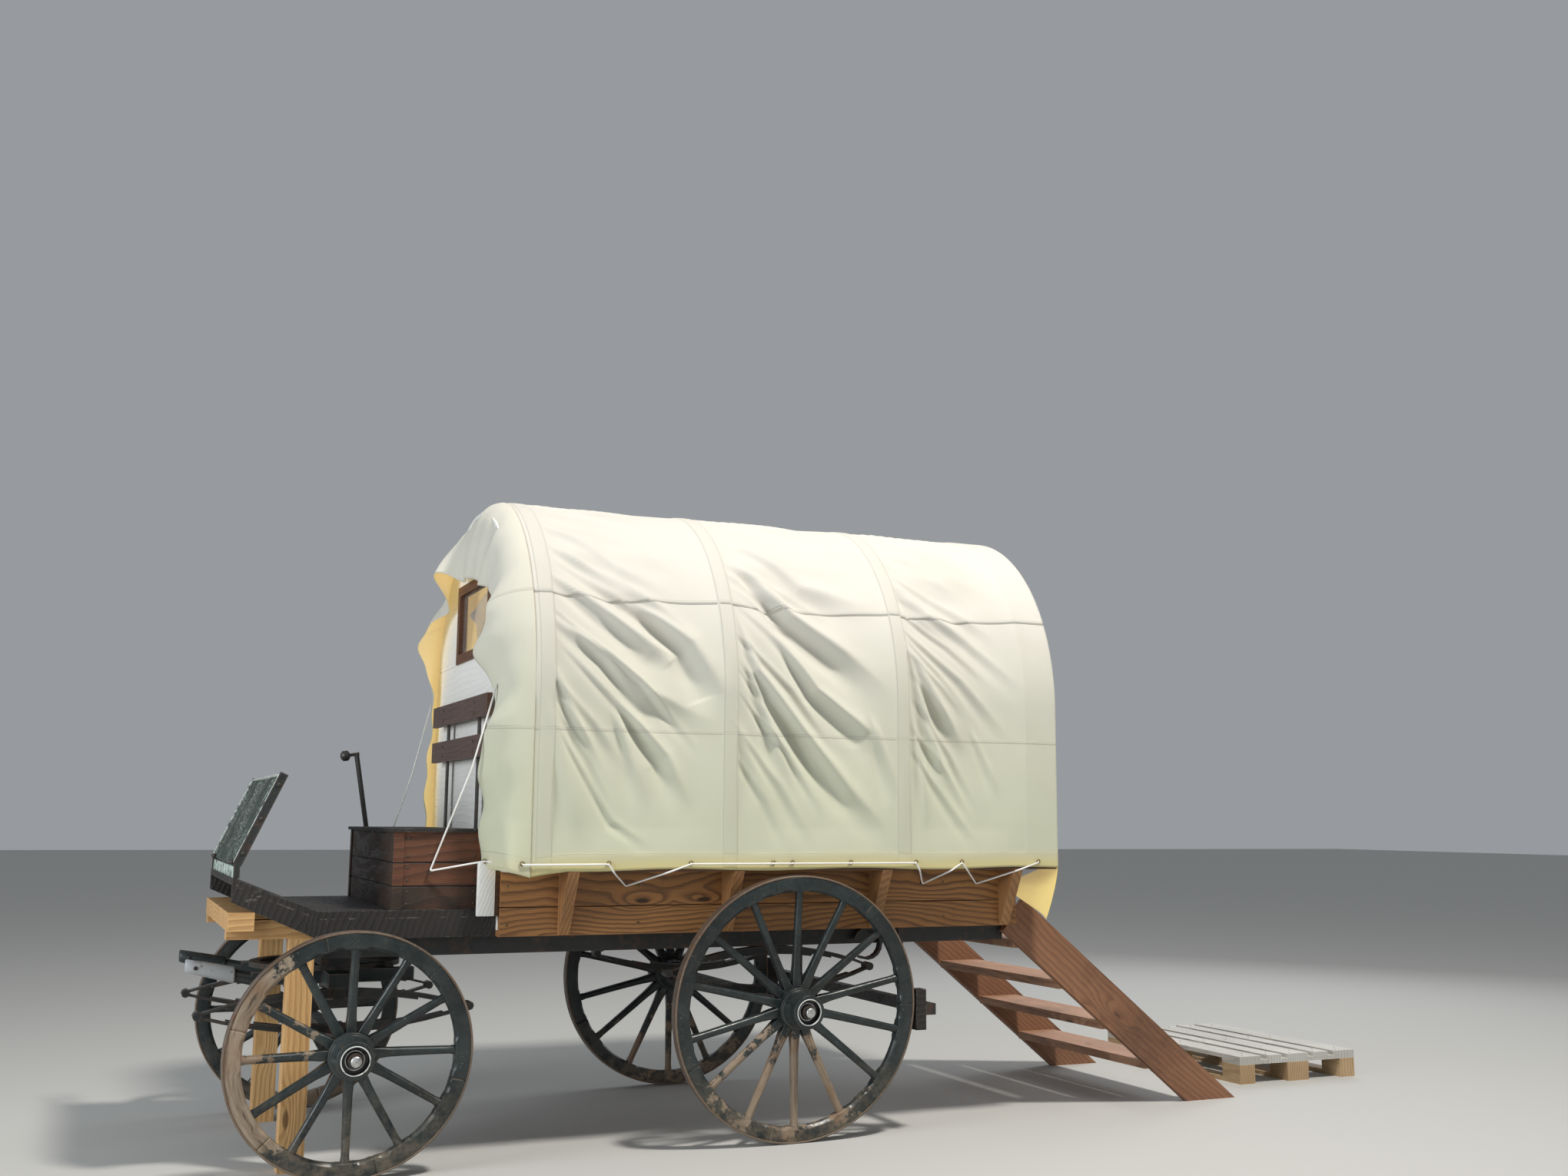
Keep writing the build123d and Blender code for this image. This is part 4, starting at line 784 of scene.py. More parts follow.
# Each fold: its line from the upper front to the lower rear as (place, distance
# from the hem), its half width, its height and the depth of the hollow under it.
left_folds = (
    ([(1.11, 1.65), (0.80, 1.36), (0.50, 1.19)], 0.045, 0.012, 0.008),
    ([(1.07, 1.44), (0.81, 1.24), (0.50, 1.10)], 0.040, 0.012, 0.010),
    ([(1.11, 1.26), (0.93, 1.13), (0.68, 0.96), (0.42, 0.88)], 0.040, 0.015, 0.012),
    ([(1.11, 1.04), (0.90, 0.91), (0.70, 0.75), (0.36, 0.60)], 0.042, 0.015, 0.010),
    ([(0.72, 1.15), (0.50, 0.98), (0.36, 0.76), (0.33, 0.62)], 0.050, 0.020, 0.026),
    ([(1.13, 0.81), (1.03, 0.61), (0.93, 0.43)], 0.028, 0.013, 0.008),
    ([(0.78, 0.64), (0.62, 0.47), (0.50, 0.22)], 0.034, 0.013, 0.010),
    ([(0.84, 0.60), (0.76, 0.40), (0.70, 0.22)], 0.026, 0.008, 0.006),
    ([(1.16, 0.66), (1.09, 0.40), (0.99, 0.06)], 0.050, 0.016, 0.012),
    ([(0.19, 1.62), (-0.08, 1.33), (-0.50, 1.20)], 0.050, 0.014, 0.010),
    ([(0.21, 1.42), (0.00, 1.15), (-0.26, 0.97), (-0.51, 0.76)], 0.048, 0.022, 0.026),
    ([(0.26, 1.07), (0.20, 0.87), (-0.02, 0.61), (-0.26, 0.34), (-0.51, 0.10)],
     0.036, 0.024, 0.016),
    ([(0.06, 1.00), (-0.10, 0.79), (-0.37, 0.60), (-0.50, 0.38)], 0.036, 0.016, 0.012),
    ([(0.24, 0.87), (0.14, 0.64), (0.03, 0.34)], 0.028, 0.015, 0.012),
    ([(-0.40, 0.60), (-0.52, 0.26)], 0.026, 0.010, 0.008),
    ([(0.30, 0.60), (0.20, 0.40), (0.14, 0.20)], 0.034, 0.009, 0.007),
    ([(-0.56, 1.04), (-0.66, 0.67), (-0.80, 0.25)], 0.030, 0.020, 0.012),
    ([(-0.60, 0.98), (-0.73, 0.75), (-0.88, 0.52)], 0.034, 0.016, 0.014),
    ([(-0.56, 1.42), (-0.70, 1.20), (-0.98, 1.08)], 0.050, 0.013, 0.010),
    ([(-0.58, 0.70), (-0.63, 0.40), (-0.66, 0.10)], 0.024, 0.010, 0.008),
    ([(-0.66, 1.62), (-0.86, 1.44), (-1.10, 1.32)], 0.060, 0.010, 0.008),
    ([(-0.95, 0.55), (-1.02, 0.40), (-1.05, 0.30)], 0.020, 0.006, 0.004),
    ([(-1.22, 0.56), (-1.26, 0.40), (-1.28, 0.28)], 0.018, 0.006, 0.004),
)
chance = np.random.default_rng(7)
right_folds = []
for front, rear in ((1.14, 0.36), (0.30, -0.50), (-0.56, -1.30)):
    for start in (1.62, 1.36, 1.12, 0.92, 0.66):
        start = start + chance.uniform(-0.08, 0.08)
        reach = chance.uniform(0.7, 1.0)
        drop = chance.uniform(0.45, 0.72)
        middle = (front + (rear - front) * 0.45 * reach, start - 0.55 * drop)
        end = (front + (rear - front) * reach, max(start - drop, 0.06))
        height = chance.uniform(0.010, 0.021)
        width = chance.uniform(0.034, 0.052)
        right_folds.append(([(front, start), middle, end], width, height, 0.8 * height))
# narrow creases that leave each bow's sleeve in the same direction, long and
# level near the crown, short and steep near the hem
creases = []
for front in (1.12, 0.29, -0.57):
    for start in np.arange(0.50, 2.10, 0.105):
        start = start + chance.uniform(-0.05, 0.05)
        reach = chance.uniform(0.30, 0.74) * np.interp(start, [0.5, 1.2], [0.6, 1.0])
        fall = reach * np.interp(start, [0.4, 1.0, 1.5, 2.1], [1.8, 1.10, 0.62, 0.35])
        fall = fall * chance.uniform(0.85, 1.15)
        bow_end = front - chance.uniform(0.0, 0.06)
        line = [(bow_end, start), (bow_end - 0.5 * reach, start - 0.42 * fall),
                (bow_end - reach, max(start - fall, 0.05))]
        broad = float(np.interp(start, [1.2, 1.6], [0.0, 1.0]))
        width = chance.uniform(0.013, 0.022) + 0.016 * broad
        height = chance.uniform(0.003, 0.006) + 0.003 * broad
        creases.append((line, width, height, chance.uniform(0.003, 0.006) + 0.002 * broad))
left_folds = (*left_folds, *creases)
right_folds = right_folds + creases[::2]


def cover_relief(x, s):
    """Outward offset of the cloth, in metres.

    Between two bows it sags by a depth that changes round the arch, times the sine of the
    way across to the power 0.8. Tension folds, sewn sleeves and a fine ripple are added. A
    soft ceiling keeps it near the bows' line and a soft floor off the laths and the ledge."""
    place = x - rear_axle_x
    slack = np.zeros(x.shape)
    for front, rear in zip(bow_places[:-1], (*bow_places[1:-1], rear_wall_place)):
        t = np.clip((front - place) / (front - rear), 0, 1)
        slack = slack + np.sin(math.pi * t) ** 0.8 * ((place <= front) & (place >= rear))
    side = to_hem(s)
    deep = np.interp(side, [0.055, 0.16, 0.5, 1.0, 1.5, 1.9, 2.16],
                     [0.0, 0.014, 0.034, 0.042, 0.030, 0.015, 0.010])
    offset = -0.004 - slack * deep
    on_left = s < girth / 2
    for folds, here in ((left_folds, on_left), (right_folds, ~on_left)):
        total = np.zeros(x.shape)
        for line, width, height, hollow in folds:
            total = total + tension_fold(place, side, line, width, 2.0 * height, 2.0 * hollow)
        offset = offset + np.where(here, total, 0) * (0.25 + 0.75 * np.sqrt(np.minimum(slack, 1)))
    sleeve = np.zeros(x.shape)
    for bow in bow_places[:3]:
        sleeve = sleeve + np.clip((sleeve_half - np.abs(place - bow)) / 0.008, 0, 1)
    offset = offset + 0.0022 * sleeve
    ripple = np.sin(place * 23.0 + 2.0 * np.sin(side * 5.0))
    ripple = ripple * np.sin(side * 11.0 + 1.7 * np.sin(place * 3.1))
    offset = offset + 0.0011 * ripple
    held = np.zeros(x.shape)
    for bow in bow_places:
        held = np.maximum(held, np.clip((0.052 - np.abs(place - bow)) / 0.020, 0, 1))
    held = np.maximum(held, np.clip((rear_wall_place + 0.03 - place) / 0.03, 0, 1))
    highest = 0.0030 + 0.0022 * sleeve
    offset = highest - 0.004 * np.logaddexp(0, (highest - offset) / 0.004)
    held = np.maximum(held, np.interp(side, [0.055, 0.13], [1.0, 0.0]))
    lowest = np.interp(side, [1.15, 1.45], [-0.085, -0.0235])
    lowest = lowest * (1 - held) - 0.0036 * held
    soft = 0.0005 + 0.005 * (1 - held)
    return lowest + soft * np.logaddexp(0, (offset - lowest) / soft)


def waves(tree, value, length):
    """A sine of a value, one wave to each length."""
    return sums(tree, "SINE", times(tree, value, 2 * math.pi / length))


def sewn_band(tree, over, along, centre, outer, inner, stitch_at, far, near):
    """A doubled band of cloth and its two rows of stitches, as masks.

    The band lies over a centre line; stitches run along it at one distance to each side."""
    away = apart(tree, over, centre)
    band = ramp(tree, away, outer, inner)
    row = ramp(tree, apart(tree, away, stitch_at), far, near)
    return band, times(tree, row, ramp(tree, waves(tree, along, 0.007), -0.3, 0.1))


def cloth_material(name, tint, shade, glow, lit=None):
    """Plain-woven cotton: weave, sewn sleeves and seams from the cloth's own map in metres."""
    material, tree, solid_place = start_material(name)
    flat_place = add(tree, "TexCoord").outputs["UV"]
    lengthwise, crosswise = (axis_of(tree, flat_place, index) for index in (0, 1))
    weave = times(tree, waves(tree, lengthwise, 0.0016), waves(tree, crosswise, 0.0016))
    slub = noise(tree, stretched(tree, flat_place, (40, 400, 1)), 1.0, 3.0, 0.6)
    folded = sums(tree, "MINIMUM", crosswise, sums(tree, "SUBTRACT", girth, crosswise))
    seams = [
        sewn_band(tree, folded, lengthwise, centre, half + 0.001, half - 0.001, half - 0.002,
                  0.0016, 0.0004)
        for centre, half in ((upper_seam, 0.007), (middle_seam, 0.007), (0.03, 0.030))]
    seams += [
        sewn_band(tree, lengthwise, crosswise, float(bow + rear_axle_x), sleeve_half + 0.001,
                  sleeve_half - 0.002, sleeve_half - 0.003, 0.0018, 0.0005)
        for bow in bow_places[:3]]
    bands, stitches = 0.0, 0.0
    for band, row in seams:
        bands = sums(tree, "MAXIMUM", bands, band)
        stitches = sums(tree, "MAXIMUM", stitches, row)
    stains = patches(tree, solid_place, 1.6, 6.0, 0.6, 0.42, 0.80, 0.0, 0.35)
    # painted shade and bounce light: towards the hem the cloth is painted darker and greener, as
    # its lower side lies in shade lit green from below
    green = tuple(c * k for c, k in zip(tint, (0.86, 0.92, 0.74)))
    colour = blended(tree, ramp(tree, folded, 1.35, 0.0, 0.0, 0.9), tint, green)
    colour = blended(tree, stains, colour, shade)
    colour = blended(tree, times(tree, bands, 0.18), colour, shade)
    thread = tuple(0.5 * c for c in shade)
    colour = blended(tree, times(tree, stitches, 0.55), colour, thread)
    # painted light: along the hem and past it the cloth takes the glow colour, as sunlight shining
    # through it
    hem = sums(tree, "MAXIMUM", ramp(tree, folded, 0.085, 0.0, 0.0, 0.65),
               ramp(tree, folded, 0.0, -0.03, 0.0, 0.95))
    colour = blended(tree, hem, colour, glow)
    height = sums(tree, "MULTIPLY_ADD", weave, 0.10, times(tree, slub, 0.25))
    sewn = sums(tree, "SUBTRACT", bands, times(tree, stitches, 0.9))
    rough = ramp(tree, slub, 0.2, 0.8, 0.78, 0.92)
    finish_material(colour, rough, sums(tree, "ADD", height, sewn), 0.0012)
    look = surface(tree)
    look["Sheen Weight"].default_value = 0.15
    look["Sheen Roughness"].default_value = 0.5
    # painted light: a glow of its own for cloth lit through from behind
    if lit:
        look["Emission Color"].default_value, look["Emission Strength"].default_value = lit
    return material


# Copies of one cloth with painted light: canvas_lit is yellower, with a yellower hem and a faint
# glow, as sunlit cloth seen from its shaded side; the hood's copy is a little yellower, as lit
# through; the inside copy is orange and glows, as daylight through the cloth.
canvas, canvas_lit, canvas_hood, canvas_inside = (cloth_material(*look) for look in (
    ("canvas_cloth", (0.645, 0.63, 0.575), (0.50, 0.475, 0.41), (0.66, 0.55, 0.18)),
    ("canvas_lit", (0.65, 0.625, 0.53), (0.51, 0.475, 0.37), (0.78, 0.64, 0.12),
     ((1.0, 0.86, 0.42, 1), 0.05)),
    ("canvas_hood", (0.65, 0.635, 0.545), (0.50, 0.475, 0.39), (0.60, 0.57, 0.36)),
    ("canvas_inside", (0.82, 0.68, 0.38), (0.74, 0.56, 0.28), (0.78, 0.60, 0.18),
     ((1.0, 0.76, 0.36, 1), 0.36)),
))


def cloth_piece(name, points, material, uv, flip):
    """Cloth of its real thickness, its inner face in the glowing orange inside copy: painted
    daylight through the cloth.
    """
    piece = grid_piece(name, points, "wagon_body", "canvas_cloth", material, uv, flip=flip)
    piece.data.materials.append(canvas_inside)
    layer = piece.modifiers.new("thickness", "SOLIDIFY")
    layer.thickness = cloth_thick
    layer.offset = -1.0
    layer.material_offset = 1
    layer.use_rim = True
    return piece


rear_x = cover_low[0] + 0.003
for name, s0, s1, rows, columns, lap in (
    ("cover_left", 0.0, upper_seam, 134, 345, 0.0),
    ("cover_top", upper_seam, girth - upper_seam, 132, 250, 0.014),
    ("cover_right", girth - upper_seam, girth, 92, 240, 0.0),
):
    x = np.linspace(rear_x, crease_x, columns)[:, None]
    s = np.linspace(s0 - lap, s1 + lap, rows)[None, :]
    x, s = np.broadcast_arrays(x, s)
    y, z, ny, nz = on_arch(s)
    out = cover_relief(x, s) + 0.08 * lap
    flare = np.clip((x - crease_x + 0.07) / 0.07, 0, 1)
    hem_wave = 0.019 + 0.005 * np.sin((x - rear_axle_x) * 7.4 + 0.6)
    hem_wave = hem_wave * np.clip(1 - to_hem(s) / 0.10, 0, 1)
    front_corner = np.clip((x - crease_x + 0.16) / 0.16, 0, 1)
    hem_wave = hem_wave + 0.024 * front_corner * np.clip(1 - to_hem(s) / 0.25, 0, 1)
    points = np.stack([x, y + ny * out, z + nz * out - hem_wave - 0.004 * flare], axis=-1)
    cloth_piece(name, points, canvas, np.stack([x, s], axis=-1), flip=True)


# Hood: the same cloth runs on past the front bow, turns in over the wall's edge
# and is pulled back in points by elastic, so its free edge stands in lobes.
def smooth_along(s, stations, values):
    """A rounded curve through values at stations along the edge."""
    fine = np.linspace(stations[0], stations[-1], 800)
    raw = np.interp(fine, stations, values)
    kernel = np.hanning(41)
    padded = np.pad(raw, 20, mode="edge")
    return np.interp(s, fine, np.convolve(padded, kernel / kernel.sum(), mode="valid"))


def cloth_grid(across_rows, along_columns, overhang):
    """Shares from the fold to the free edge, and distances along it past both hems."""
    s = np.linspace(-overhang, girth + overhang, along_columns)[None, :]
    return np.broadcast_arrays(np.linspace(0, 1, across_rows)[:, None], s)


# along the edge from the left hem: distance, reach inward, stand forward, bulge
hood_lobes = np.array([
    (0.00, 0.235, 0.150, 0.03), (0.20, 0.225, 0.165, 0.03), (0.42, 0.220, 0.185, 0.03),
    (0.62, 0.120, 0.150, 0.02), (0.76, 0.210, 0.125, 0.01), (0.93, 0.260, 0.235, 0.04),
    (1.14, 0.110, 0.165, 0.03), (1.30, 0.200, 0.135, 0.02), (1.60, 0.330, 0.130, 0.02),
    (2.16, 0.390, 0.150, 0.02), (2.38, 0.350, 0.125, 0.01), (2.56, 0.220, 0.235, 0.05),
    (2.78, 0.340, 0.125, 0.01), (3.00, 0.220, 0.170, 0.03), (3.22, 0.160, 0.245, 0.05),
    (3.42, 0.170, 0.125, 0.01), (3.80, 0.130, 0.140, 0.02), (girth, 0.160, 0.130, 0.02)]).T
t, s = cloth_grid(44, 420, 0.012)
inset, stand, bulge = (smooth_along(s, hood_lobes[0], row) for row in hood_lobes[1:])
# each rib is a cubic curve from the crease, past two points, to the free edge
near_crease, past_middle, at_edge = 3 * t * (1 - t) ** 2, 3 * t * t * (1 - t), t**3
forth = near_crease * 0.080 + past_middle * (0.118 + bulge) + at_edge * stand
inward = near_crease * 0.012 + past_middle * (0.060 + 0.12 * inset) + at_edge * inset
pleat = 0.010 * t * np.sin(s * 13.0 + 1.3 * np.sin(s * 4.0))
pleat = pleat + 0.006 * t * np.sin(s * 31.0 + t * 3.0)
past_ledge = np.clip((t - 0.30) / 0.32, 0, 1)
foot = np.clip(1 - to_hem(s) / 0.20, 0, 1)
inward = inward * (1 - foot * (1 - past_ledge * past_ledge * (3 - 2 * past_ledge)))
y, z, ny, nz = on_arch(s)
inward = inward + 0.004 * (1 - foot)
z = z - 0.036 * np.clip(1 - to_hem(s) / 0.25, 0, 1) * (1 - t) ** 2
points = np.stack([crease_x + forth + pleat, y - ny * inward, z - nz * inward], axis=-1)
uv = np.stack([crease_x + forth + inward, s], axis=-1)
hood = cloth_piece("cover_hood", points, canvas_hood, uv, flip=True)

# Tail: the rear edge turns in behind the last bow and hangs free below the hem.
tail_drop = 0.24
tail_s = np.linspace(-tail_drop, girth + tail_drop, 15)
tail_reach, tail_stand = (half + half[-2::-1] for half in (
    (0.145, 0.17, 0.20, 0.13, 0.22, 0.15, 0.24, 0.18),
    (0.006, 0.010, 0.004, 0.016, 0.002, 0.014, 0.002, 0.012)))
t, s = cloth_grid(30, 360, tail_drop)
low = np.clip(-to_hem(s) / tail_drop, 0, 1)
forth = 0.010 * np.sin(math.pi * t) - 0.006 * t
forth = forth + smooth_along(s, tail_s, tail_stand) * t * np.cos(s * 9.0)
inward = smooth_along(s, tail_s, tail_reach) * t + 0.004 + 0.11 * low**1.5 * (1 - t)
y, z, ny, nz = on_arch(s)
z = z + 0.06 * low * t - 0.03 * low
pulled = 0.175 * np.clip((low - 0.14) / 0.3, 0, 1) * np.clip((1.15 - low) / 0.5, 0, 1) * t**1.2
points = np.stack([rear_x - forth * 0.5 + pulled, y - ny * inward, z - nz * inward], axis=-1)
uv = np.stack([rear_x - inward, s], axis=-1)
# painted light: the tail's outer face is the lit copy, yellower and faintly glowing as sunlit cloth
# seen from its shaded side
tail = cloth_piece("cover_tail", points, canvas_lit, uv, flip=False)

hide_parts("canvas_cover")


# Lacing: one white elastic line through brass eyelets in the hem, taken down to
# screws in the planks, and at the front to a screw eye in the seat box's end.
def unit(vectors):
    """Vectors of length one."""
    return vectors / (np.linalg.norm(vectors, axis=-1, keepdims=True) + 1e-9)


def two_across(directions, usual, limit):
    """Two directions across each one, the first square to the usual axis, or to X where near it."""
    usual = np.array(usual, dtype=float)
    near = np.abs(directions @ usual)[:, None] > limit
    first = np.cross(directions, np.where(near, np.array([[1.0, 0.0, 0.0]]), usual))
    first = first / np.linalg.norm(first, axis=1, keepdims=True)
    return first, np.cross(directions, first)


def laced_line(name, stops, radius, material, slot_name="canvas_cloth", turn=0.010):
    """A round line through stops in space, with a short quadratic curve at each of them."""
    stops = np.array(stops, dtype=float)
    eased_line = [stops[0]]
    for before, here, after in zip(stops[:-2], stops[1:-1], stops[2:]):
        come, leave = (here + (other - here) / np.linalg.norm(other - here) * turn
                       for other in (before, after))
        for share in (0.0, 0.25, 0.5, 0.75, 1.0):
            rest = 1 - share
            eased_line.append(rest**2 * come + 2 * share * rest * here + share**2 * leave)
    stops = np.array(eased_line + [stops[-1]])
    runs = unit(np.diff(stops, axis=0))
    tangent = unit(np.vstack([runs[:1], (runs[:-1] + runs[1:]) / 2, runs[-1:]]))
    first, second = two_across(tangent, (0, 1, 0), 0.95)
    turns = full_turn(10)[None, :, None]
    ring = np.cos(turns) * first[:, None] + np.sin(turns) * second[:, None]
    points = stops[:, None] + radius * ring
    ends = [np.repeat(stops[:1, None], 10, 1), points, np.repeat(stops[-1:, None], 10, 1)]
    return grid_piece(name, np.concatenate(ends), "wagon_body", slot_name, material, close_j=True)


def set_on(places, normals):
    """Places with a normal each, and two directions across every normal."""
    places = np.array(places, dtype=float).reshape(-1, 3)
    normals = np.broadcast_to(np.array(normals, dtype=float), places.shape)
    return places, normals, *two_across(normals, (0, 0, 1), 0.9)


def studs(name, places, normals, radius, height, material, slot_name="wagon_iron",
          body="wagon_body"):
    """Low domes: screw heads, bolts and nails, each a stepped profile turned about its normal."""
    places, normals, first, second = set_on(places, normals)
    turns = full_turn(12)[None, :, None]
    ring = np.cos(turns) * first[:, None] + np.sin(turns) * second[:, None]
    reach = radius * np.array([0.0, 1.0, 1.0, 0.86, 0.5, 0.0])[None, :, None, None]
    lift = height * np.array([-0.3, -0.3, 0.45, 0.80, 0.96, 1.0])[None, :, None, None]
    points = places[:, None, None] + reach * ring[:, None] + lift * normals[:, None, None]
    return grid_piece(name, points, body, slot_name, material, close_j=True)


def loops(name, places, normals, radius, wire, material, slot_name="wagon_iron"):
    """Wire rings lying across a normal: a circle of wire turned about a circle."""
    places, normals, first, second = set_on(places, normals)
    turns = full_turn(20)[None, :, None, None]
    round_wire = full_turn(8)[None, None, :, None]
    out = np.cos(turns) * first[:, None, None] + np.sin(turns) * second[:, None, None]
    points = places[:, None, None] + (radius + wire * np.cos(round_wire)) * out
    points = points + wire * np.sin(round_wire) * normals[:, None, None]
    return grid_piece(name, points, "wagon_body", slot_name, material, close_i=True, close_j=True)


def from_axle(places):
    """Places measured from the rear axle, in the frame."""
    return np.array(places, dtype=float) + np.array([rear_axle_x, 0, 0])


def both_sides(places):
    """Places and their mirror images across the wagon, and the way each of them faces."""
    places = np.array(places, dtype=float)
    places = np.concatenate([places, places * np.array([1, -1, 1])])
    return from_axle(places), np.sign(places) * np.array([0, 1, 0])


elastic, tree, place = start_material("elastic_line")
braid = sums(tree, "SINE", times(tree, noise(tree, place, 300.0, 1.0), 9.0))
soiled = patches(tree, place, 6.0, 3.0, 0.55, 0.4, 0.8, 0.0, 0.4)
worn_line = blended(tree, soiled, (0.86, 0.85, 0.82), (0.52, 0.49, 0.42))
finish_material(worn_line, ramp(tree, braid, -1, 1, 0.5, 0.7), braid, 0.0004)
brass, tree, place = start_material("eyelet_brass")
tarnish = patches(tree, place, 160.0, 4.0, 0.7, 0.40, 0.60)
surface(tree)["Metallic"].default_value = 0.7
finish_material(blended(tree, tarnish, (0.36, 0.25, 0.10), (0.07, 0.055, 0.035)),
                ramp(tree, tarnish, 0, 1, 0.3, 0.6))

# the hem's outside and the eyelets' height, the planks' face under the screws'
# heads, and where the line passes the ledge between the two
hem_out, hem_up, plank_out = 0.8655, 1.2015, 0.7125
ledge_out, ledge_up = 0.857, 1.166
line_radius, eyelet_radius, eyelet_wire = 0.0040, 0.0085, 0.0024
eyelet_x = (1.257, 0.884, 0.514, 0.127, 0.034, -0.255, -0.589, -0.832, -1.2527)
anchors = {0.884: (0.758, 1.104), -0.589: (-0.704, 1.1006), -0.832: (-0.996, 1.098)}
left_stops = []
for here, after in zip(eyelet_x, (*eyelet_x[1:], None)):
    left_stops.append((here, hem_out, hem_up))
    if here in anchors:
        low_x, low_z = anchors[here]
        left_stops.append((here + 0.20 * (low_x - here), ledge_out, ledge_up))
        left_stops.append((low_x, plank_out, low_z))
        left_stops.append((after + 0.42 * (low_x - after), ledge_out, ledge_up))
front_stops = [(1.352, 0.712, 1.958), (1.440, 0.682, 1.600), (1.586, 0.617, 1.1707),
               (1.376, 0.700, 1.212), (1.280, 0.852, 1.205)]
hem_holes = [(x, hem_out - 0.0035, hem_up + 0.004) for x in eyelet_x]
screw_heads = [(x, 0.7005, z + 0.004) for x, z in anchors.values()]
for hand, side in hands.items():
    mirror = np.array([1, side, 1])
    laced_line(f"lacing_{hand}", from_axle(left_stops * mirror), line_radius, elastic)
    laced_line(f"lacing_front_{hand}", from_axle(front_stops * mirror), line_radius, elastic)
    loops(f"hem_eyelets_{hand}", from_axle(hem_holes * mirror), (0, side, 0),
          eyelet_radius, eyelet_wire, brass, "canvas_cloth")
    studs(f"lacing_screws_{hand}", from_axle(screw_heads * mirror), (0, side, 0),
          0.0060, 0.018, iron_paint)
    loops(f"hood_eyelet_{hand}", from_axle([(1.3775, 0.702, 1.212)] * mirror),
          (0.8, 0.6 * side, 0), eyelet_radius, eyelet_wire, brass, "canvas_cloth")
    loops(f"seat_screw_eye_{hand}", from_axle([(1.586, 0.612, 1.166)] * mirror), (1, 0, 0),
          0.0090, 0.0026, iron_paint)

# Small fixings: tarnished screws through the planks, screws in the slats and the
# seat box, and nails in the pallet, each a low dome just proud of its face.
plank_screws = [
    (x, 0.7002, z) for x in (1.275, 0.695, -0.075, -0.822, -1.205) for z in (0.948, 1.106)]
studs("plank_screws", *both_sides(plank_screws), 0.0062, 0.0022, brass, "stained_pine")
slats_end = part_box("backrest_slats")[1]
slat_deep, slat_gap = 0.098, 0.076
slat_z = [slats_end[2] - slat_deep * k - slat_gap * row
          for row, k in ((0, 0.26), (0, 0.74), (1, 1.26), (1, 1.74))]
slat_screws = [(slats_end[0] + 0.0002, y, z) for y in (-0.33, 0.33) for z in slat_z]
studs("slat_screws", slat_screws, (1, 0, 0), 0.0070, 0.0030, iron_paint)
seat_screws = [(x, 0.6005, z) for x in (1.395, 1.675)
               for z in (1.035, 1.085, 1.132, 1.184, 1.232, 1.305)]
studs("seat_screws", *both_sides(seat_screws), 0.0055, 0.0020, iron_paint, "stained_pine")
pallet_low, pallet_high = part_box("pallet_deck")
half_board = 0.0725
board_x = np.linspace(pallet_low[0] + half_board, pallet_high[0] - half_board, 5)
bearer_y = np.linspace(pallet_low[1] + half_board, pallet_high[1] - half_board, 3)
nails = [(x + dx, y + dy, pallet_high[2]) for x in board_x for y in bearer_y
         for dx, dy in ((-0.028, -0.03), (0.026, 0.034))]
studs("pallet_nails", nails, (0, 0, 1), 0.0045, 0.0012, iron_paint, "grey_pine")


# A white board closes the body's front corner beside the seat box, on a cleat coloured in the
# ledges' nearly black painted shadow, standing for the shaded gap behind the board.
def upright_board(name, low, high, slot_name, material, edge=0.0025):
    """A standing board between two corners, its edges eased."""
    outline = eased(np.array([low[:2], (high[0], low[1]), high[:2], (low[0], high[1])]), edge)
    centre = outline.mean(axis=0)
    foot, top = low[2], high[2]
    levels = ((0.0, foot), (0.96, foot), (1.0, foot + edge), (1.0, top - edge), (0.96, top),
              (0.0, top))
    rings = [np.column_stack([centre + (outline - centre) * k, np.full(len(outline), z)])
             for k, z in levels]
    return grid_piece(name, np.stack(rings), "wagon_body", slot_name, material, close_j=True)


board_foot, board_top = 0.986, 1.208
for hand, side in hands.items():
    for name, x0, x1, y0, y1, material, slot_name in (
        ("corner_board", 1.3275, 1.401, 0.676, 0.700, white_paint, "white_board"),
        ("corner_cleat", 1.3045, 1.3280, 0.640, 0.688, ledge_painted_shadow, "stained_pine"),
    ):
        ys = sorted((side * y0, side * y1))
        low, high = from_axle([(x0, ys[0], board_foot), (x1, ys[1], board_top)])
        upright_board(f"{name}_{hand}", low, high, slot_name, material)

# Dash: the panel's edge is a folded rim under scraped paint, held at its foot by
# two iron clips and bolted at both ends.
dash_lean = math.radians(24.0)
dash_foot = np.array([2.351, 0.0, 1.199])
dash_up = np.array([-math.sin(dash_lean), 0, math.cos(dash_lean)])
dash_out = np.array([math.cos(dash_lean), 0, math.sin(dash_lean)])


def on_dash(places):
    """Places on the dash panel given as (across, up, out), in the frame."""
    places = np.array(places, dtype=float)
    local = places[:, :1] * np.array([[0, 1, 0]]) + places[:, 1:2] * dash_up
    return from_axle(dash_foot + (local + places[:, 2:] * dash_out))


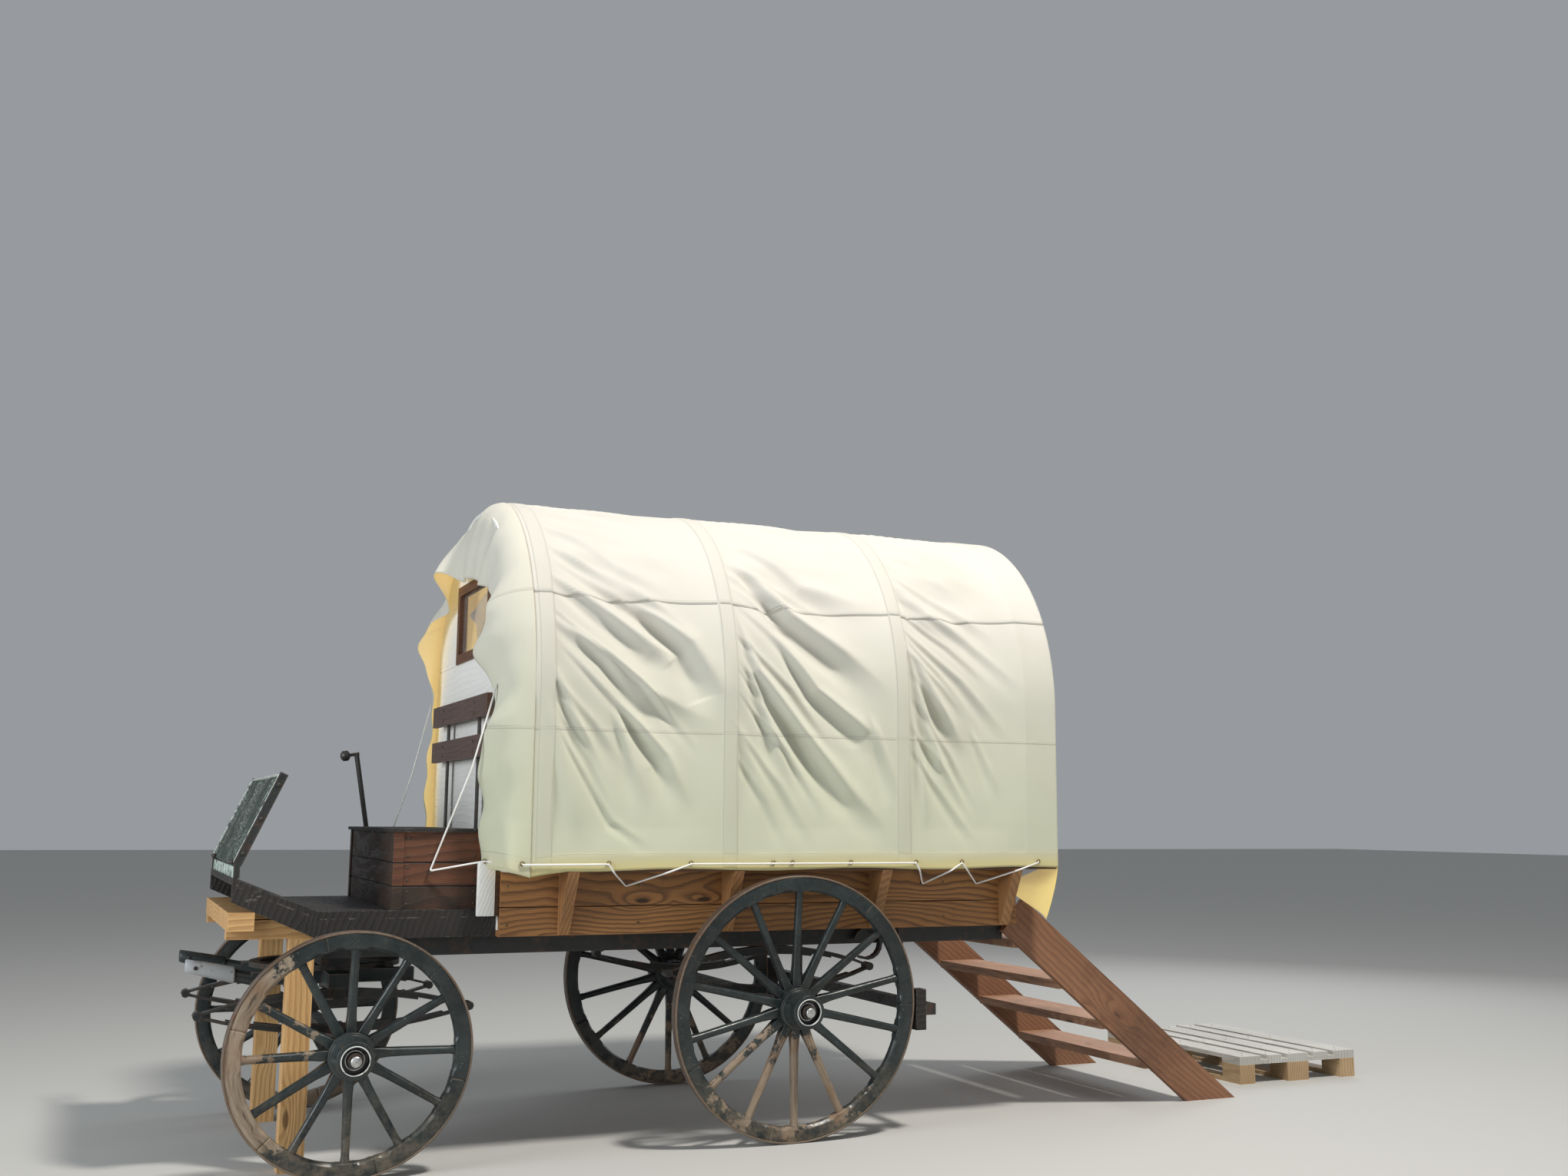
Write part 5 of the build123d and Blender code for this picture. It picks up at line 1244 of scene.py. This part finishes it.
rim_paint, tree, place = start_material("dash_rim")
scraped = patches(tree, place, 34.0, 6.0, 0.72, 0.46, 0.60)
finish_material(blended(tree, scraped, (0.50, 0.54, 0.50), (0.06, 0.07, 0.06)),
                ramp(tree, scraped, 0, 1, 0.45, 0.7), scraped, 0.0004)
rim_line = [(across_dash, up, 0.0135) for across_dash, up in (
    (-0.606, 0.004), (-0.606, 0.388), (0.606, 0.388), (0.606, 0.004))]
laced_line("dash_rim", on_dash(rim_line), 0.0060, rim_paint, "dash_paint", turn=0.03)
for hand, side in hands.items():
    clip_line = [(side * 0.47, 0.004, 0.016), (side * 0.56, 0.004, 0.016)]
    laced_line(f"dash_clip_{hand}", on_dash(clip_line), 0.0095, iron_paint, "wagon_iron")
bolts = np.array([(side * 0.614, up, 0.0) for side in (-1, 1) for up in (0.05, 0.20, 0.35)])
outwards = np.sign(bolts[:, :1]) * np.array([[0, 1, 0]])
studs("dash_bolts", on_dash(bolts) + 0.0042 * outwards, outwards, 0.0080, 0.0050, iron_paint)

# Fore-carriage ends: each shaft stub is round, with worn paint on its tip, pale
# on the left one and dark on the right, and a cross pin through it.
tip_paint, tree, place = start_material("tip_paint")
bare_tip = patches(tree, place, 22.0, 7.0, 0.70, 0.58, 0.66)
finish_material(blended(tree, bare_tip, (0.40, 0.42, 0.43), (0.13, 0.12, 0.11)),
                ramp(tree, bare_tip, 0, 1, 0.35, 0.75), bare_tip, 0.0006)
shafts_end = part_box("futchells")[1]
tip_x, tip_z = shafts_end[0], shafts_end[2] - 0.022
shaft_apart, shaft_fall = 0.25, 0.058 / 0.26
sleeve = np.array([(0.004, 0.0), (0.004, 0.0225), (0.0, 0.0268), (-0.030, 0.0284), (-0.185, 0.0350),
                   (-0.190, 0.0342), (-0.190, 0.0)])
turns = full_turn(28)[:, None]
along_x, tip_radius = sleeve[None, :, 0] + 0 * turns, sleeve[None, :, 1]
pin_back = 0.038
for hand, side in hands.items():
    points = np.stack([tip_x - 0.003 + along_x, side * shaft_apart + tip_radius * np.sin(turns),
                       tip_z + along_x * shaft_fall + tip_radius * np.cos(turns)], axis=-1)
    grid_piece(f"shaft_tip_{hand}", points, "fore_carriage", "wheel_paint",
               tip_paint if side > 0 else shaft_paint, close_i=True)
    pin_ends = [(tip_x - pin_back, side * shaft_apart + out * 0.0285, tip_z - pin_back * shaft_fall)
                for out in (-1, 1)]
    studs(f"shaft_pin_{hand}", pin_ends, [(0, -1, 0), (0, 1, 0)], 0.0085, 0.0060, iron_paint,
          body="fore_carriage")

# Rear door furniture: a turned brass knob on a round plate.
door_low, door_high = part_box("door")
knob_inset, knob_z = 0.055, 1.62
knob = eased(np.array([
    (0.0, 0.0), (0.0, 0.026), (0.004, 0.026), (0.006, 0.010), (0.026, 0.009), (0.032, 0.020),
    (0.044, 0.024), (0.052, 0.018), (0.054, 0.0)]), 0.003, closed=False)
turns = full_turn(24)[:, None]
knob_out, knob_radius = knob[None, :, 0] + 0 * turns, knob[None, :, 1]
points = np.stack([door_low[0] - knob_out, door_high[1] - knob_inset + knob_radius * np.sin(turns),
                   knob_z + knob_radius * np.cos(turns)], axis=-1)
grid_piece("door_knob", points, "rear_door", "wagon_iron", brass, close_i=True)
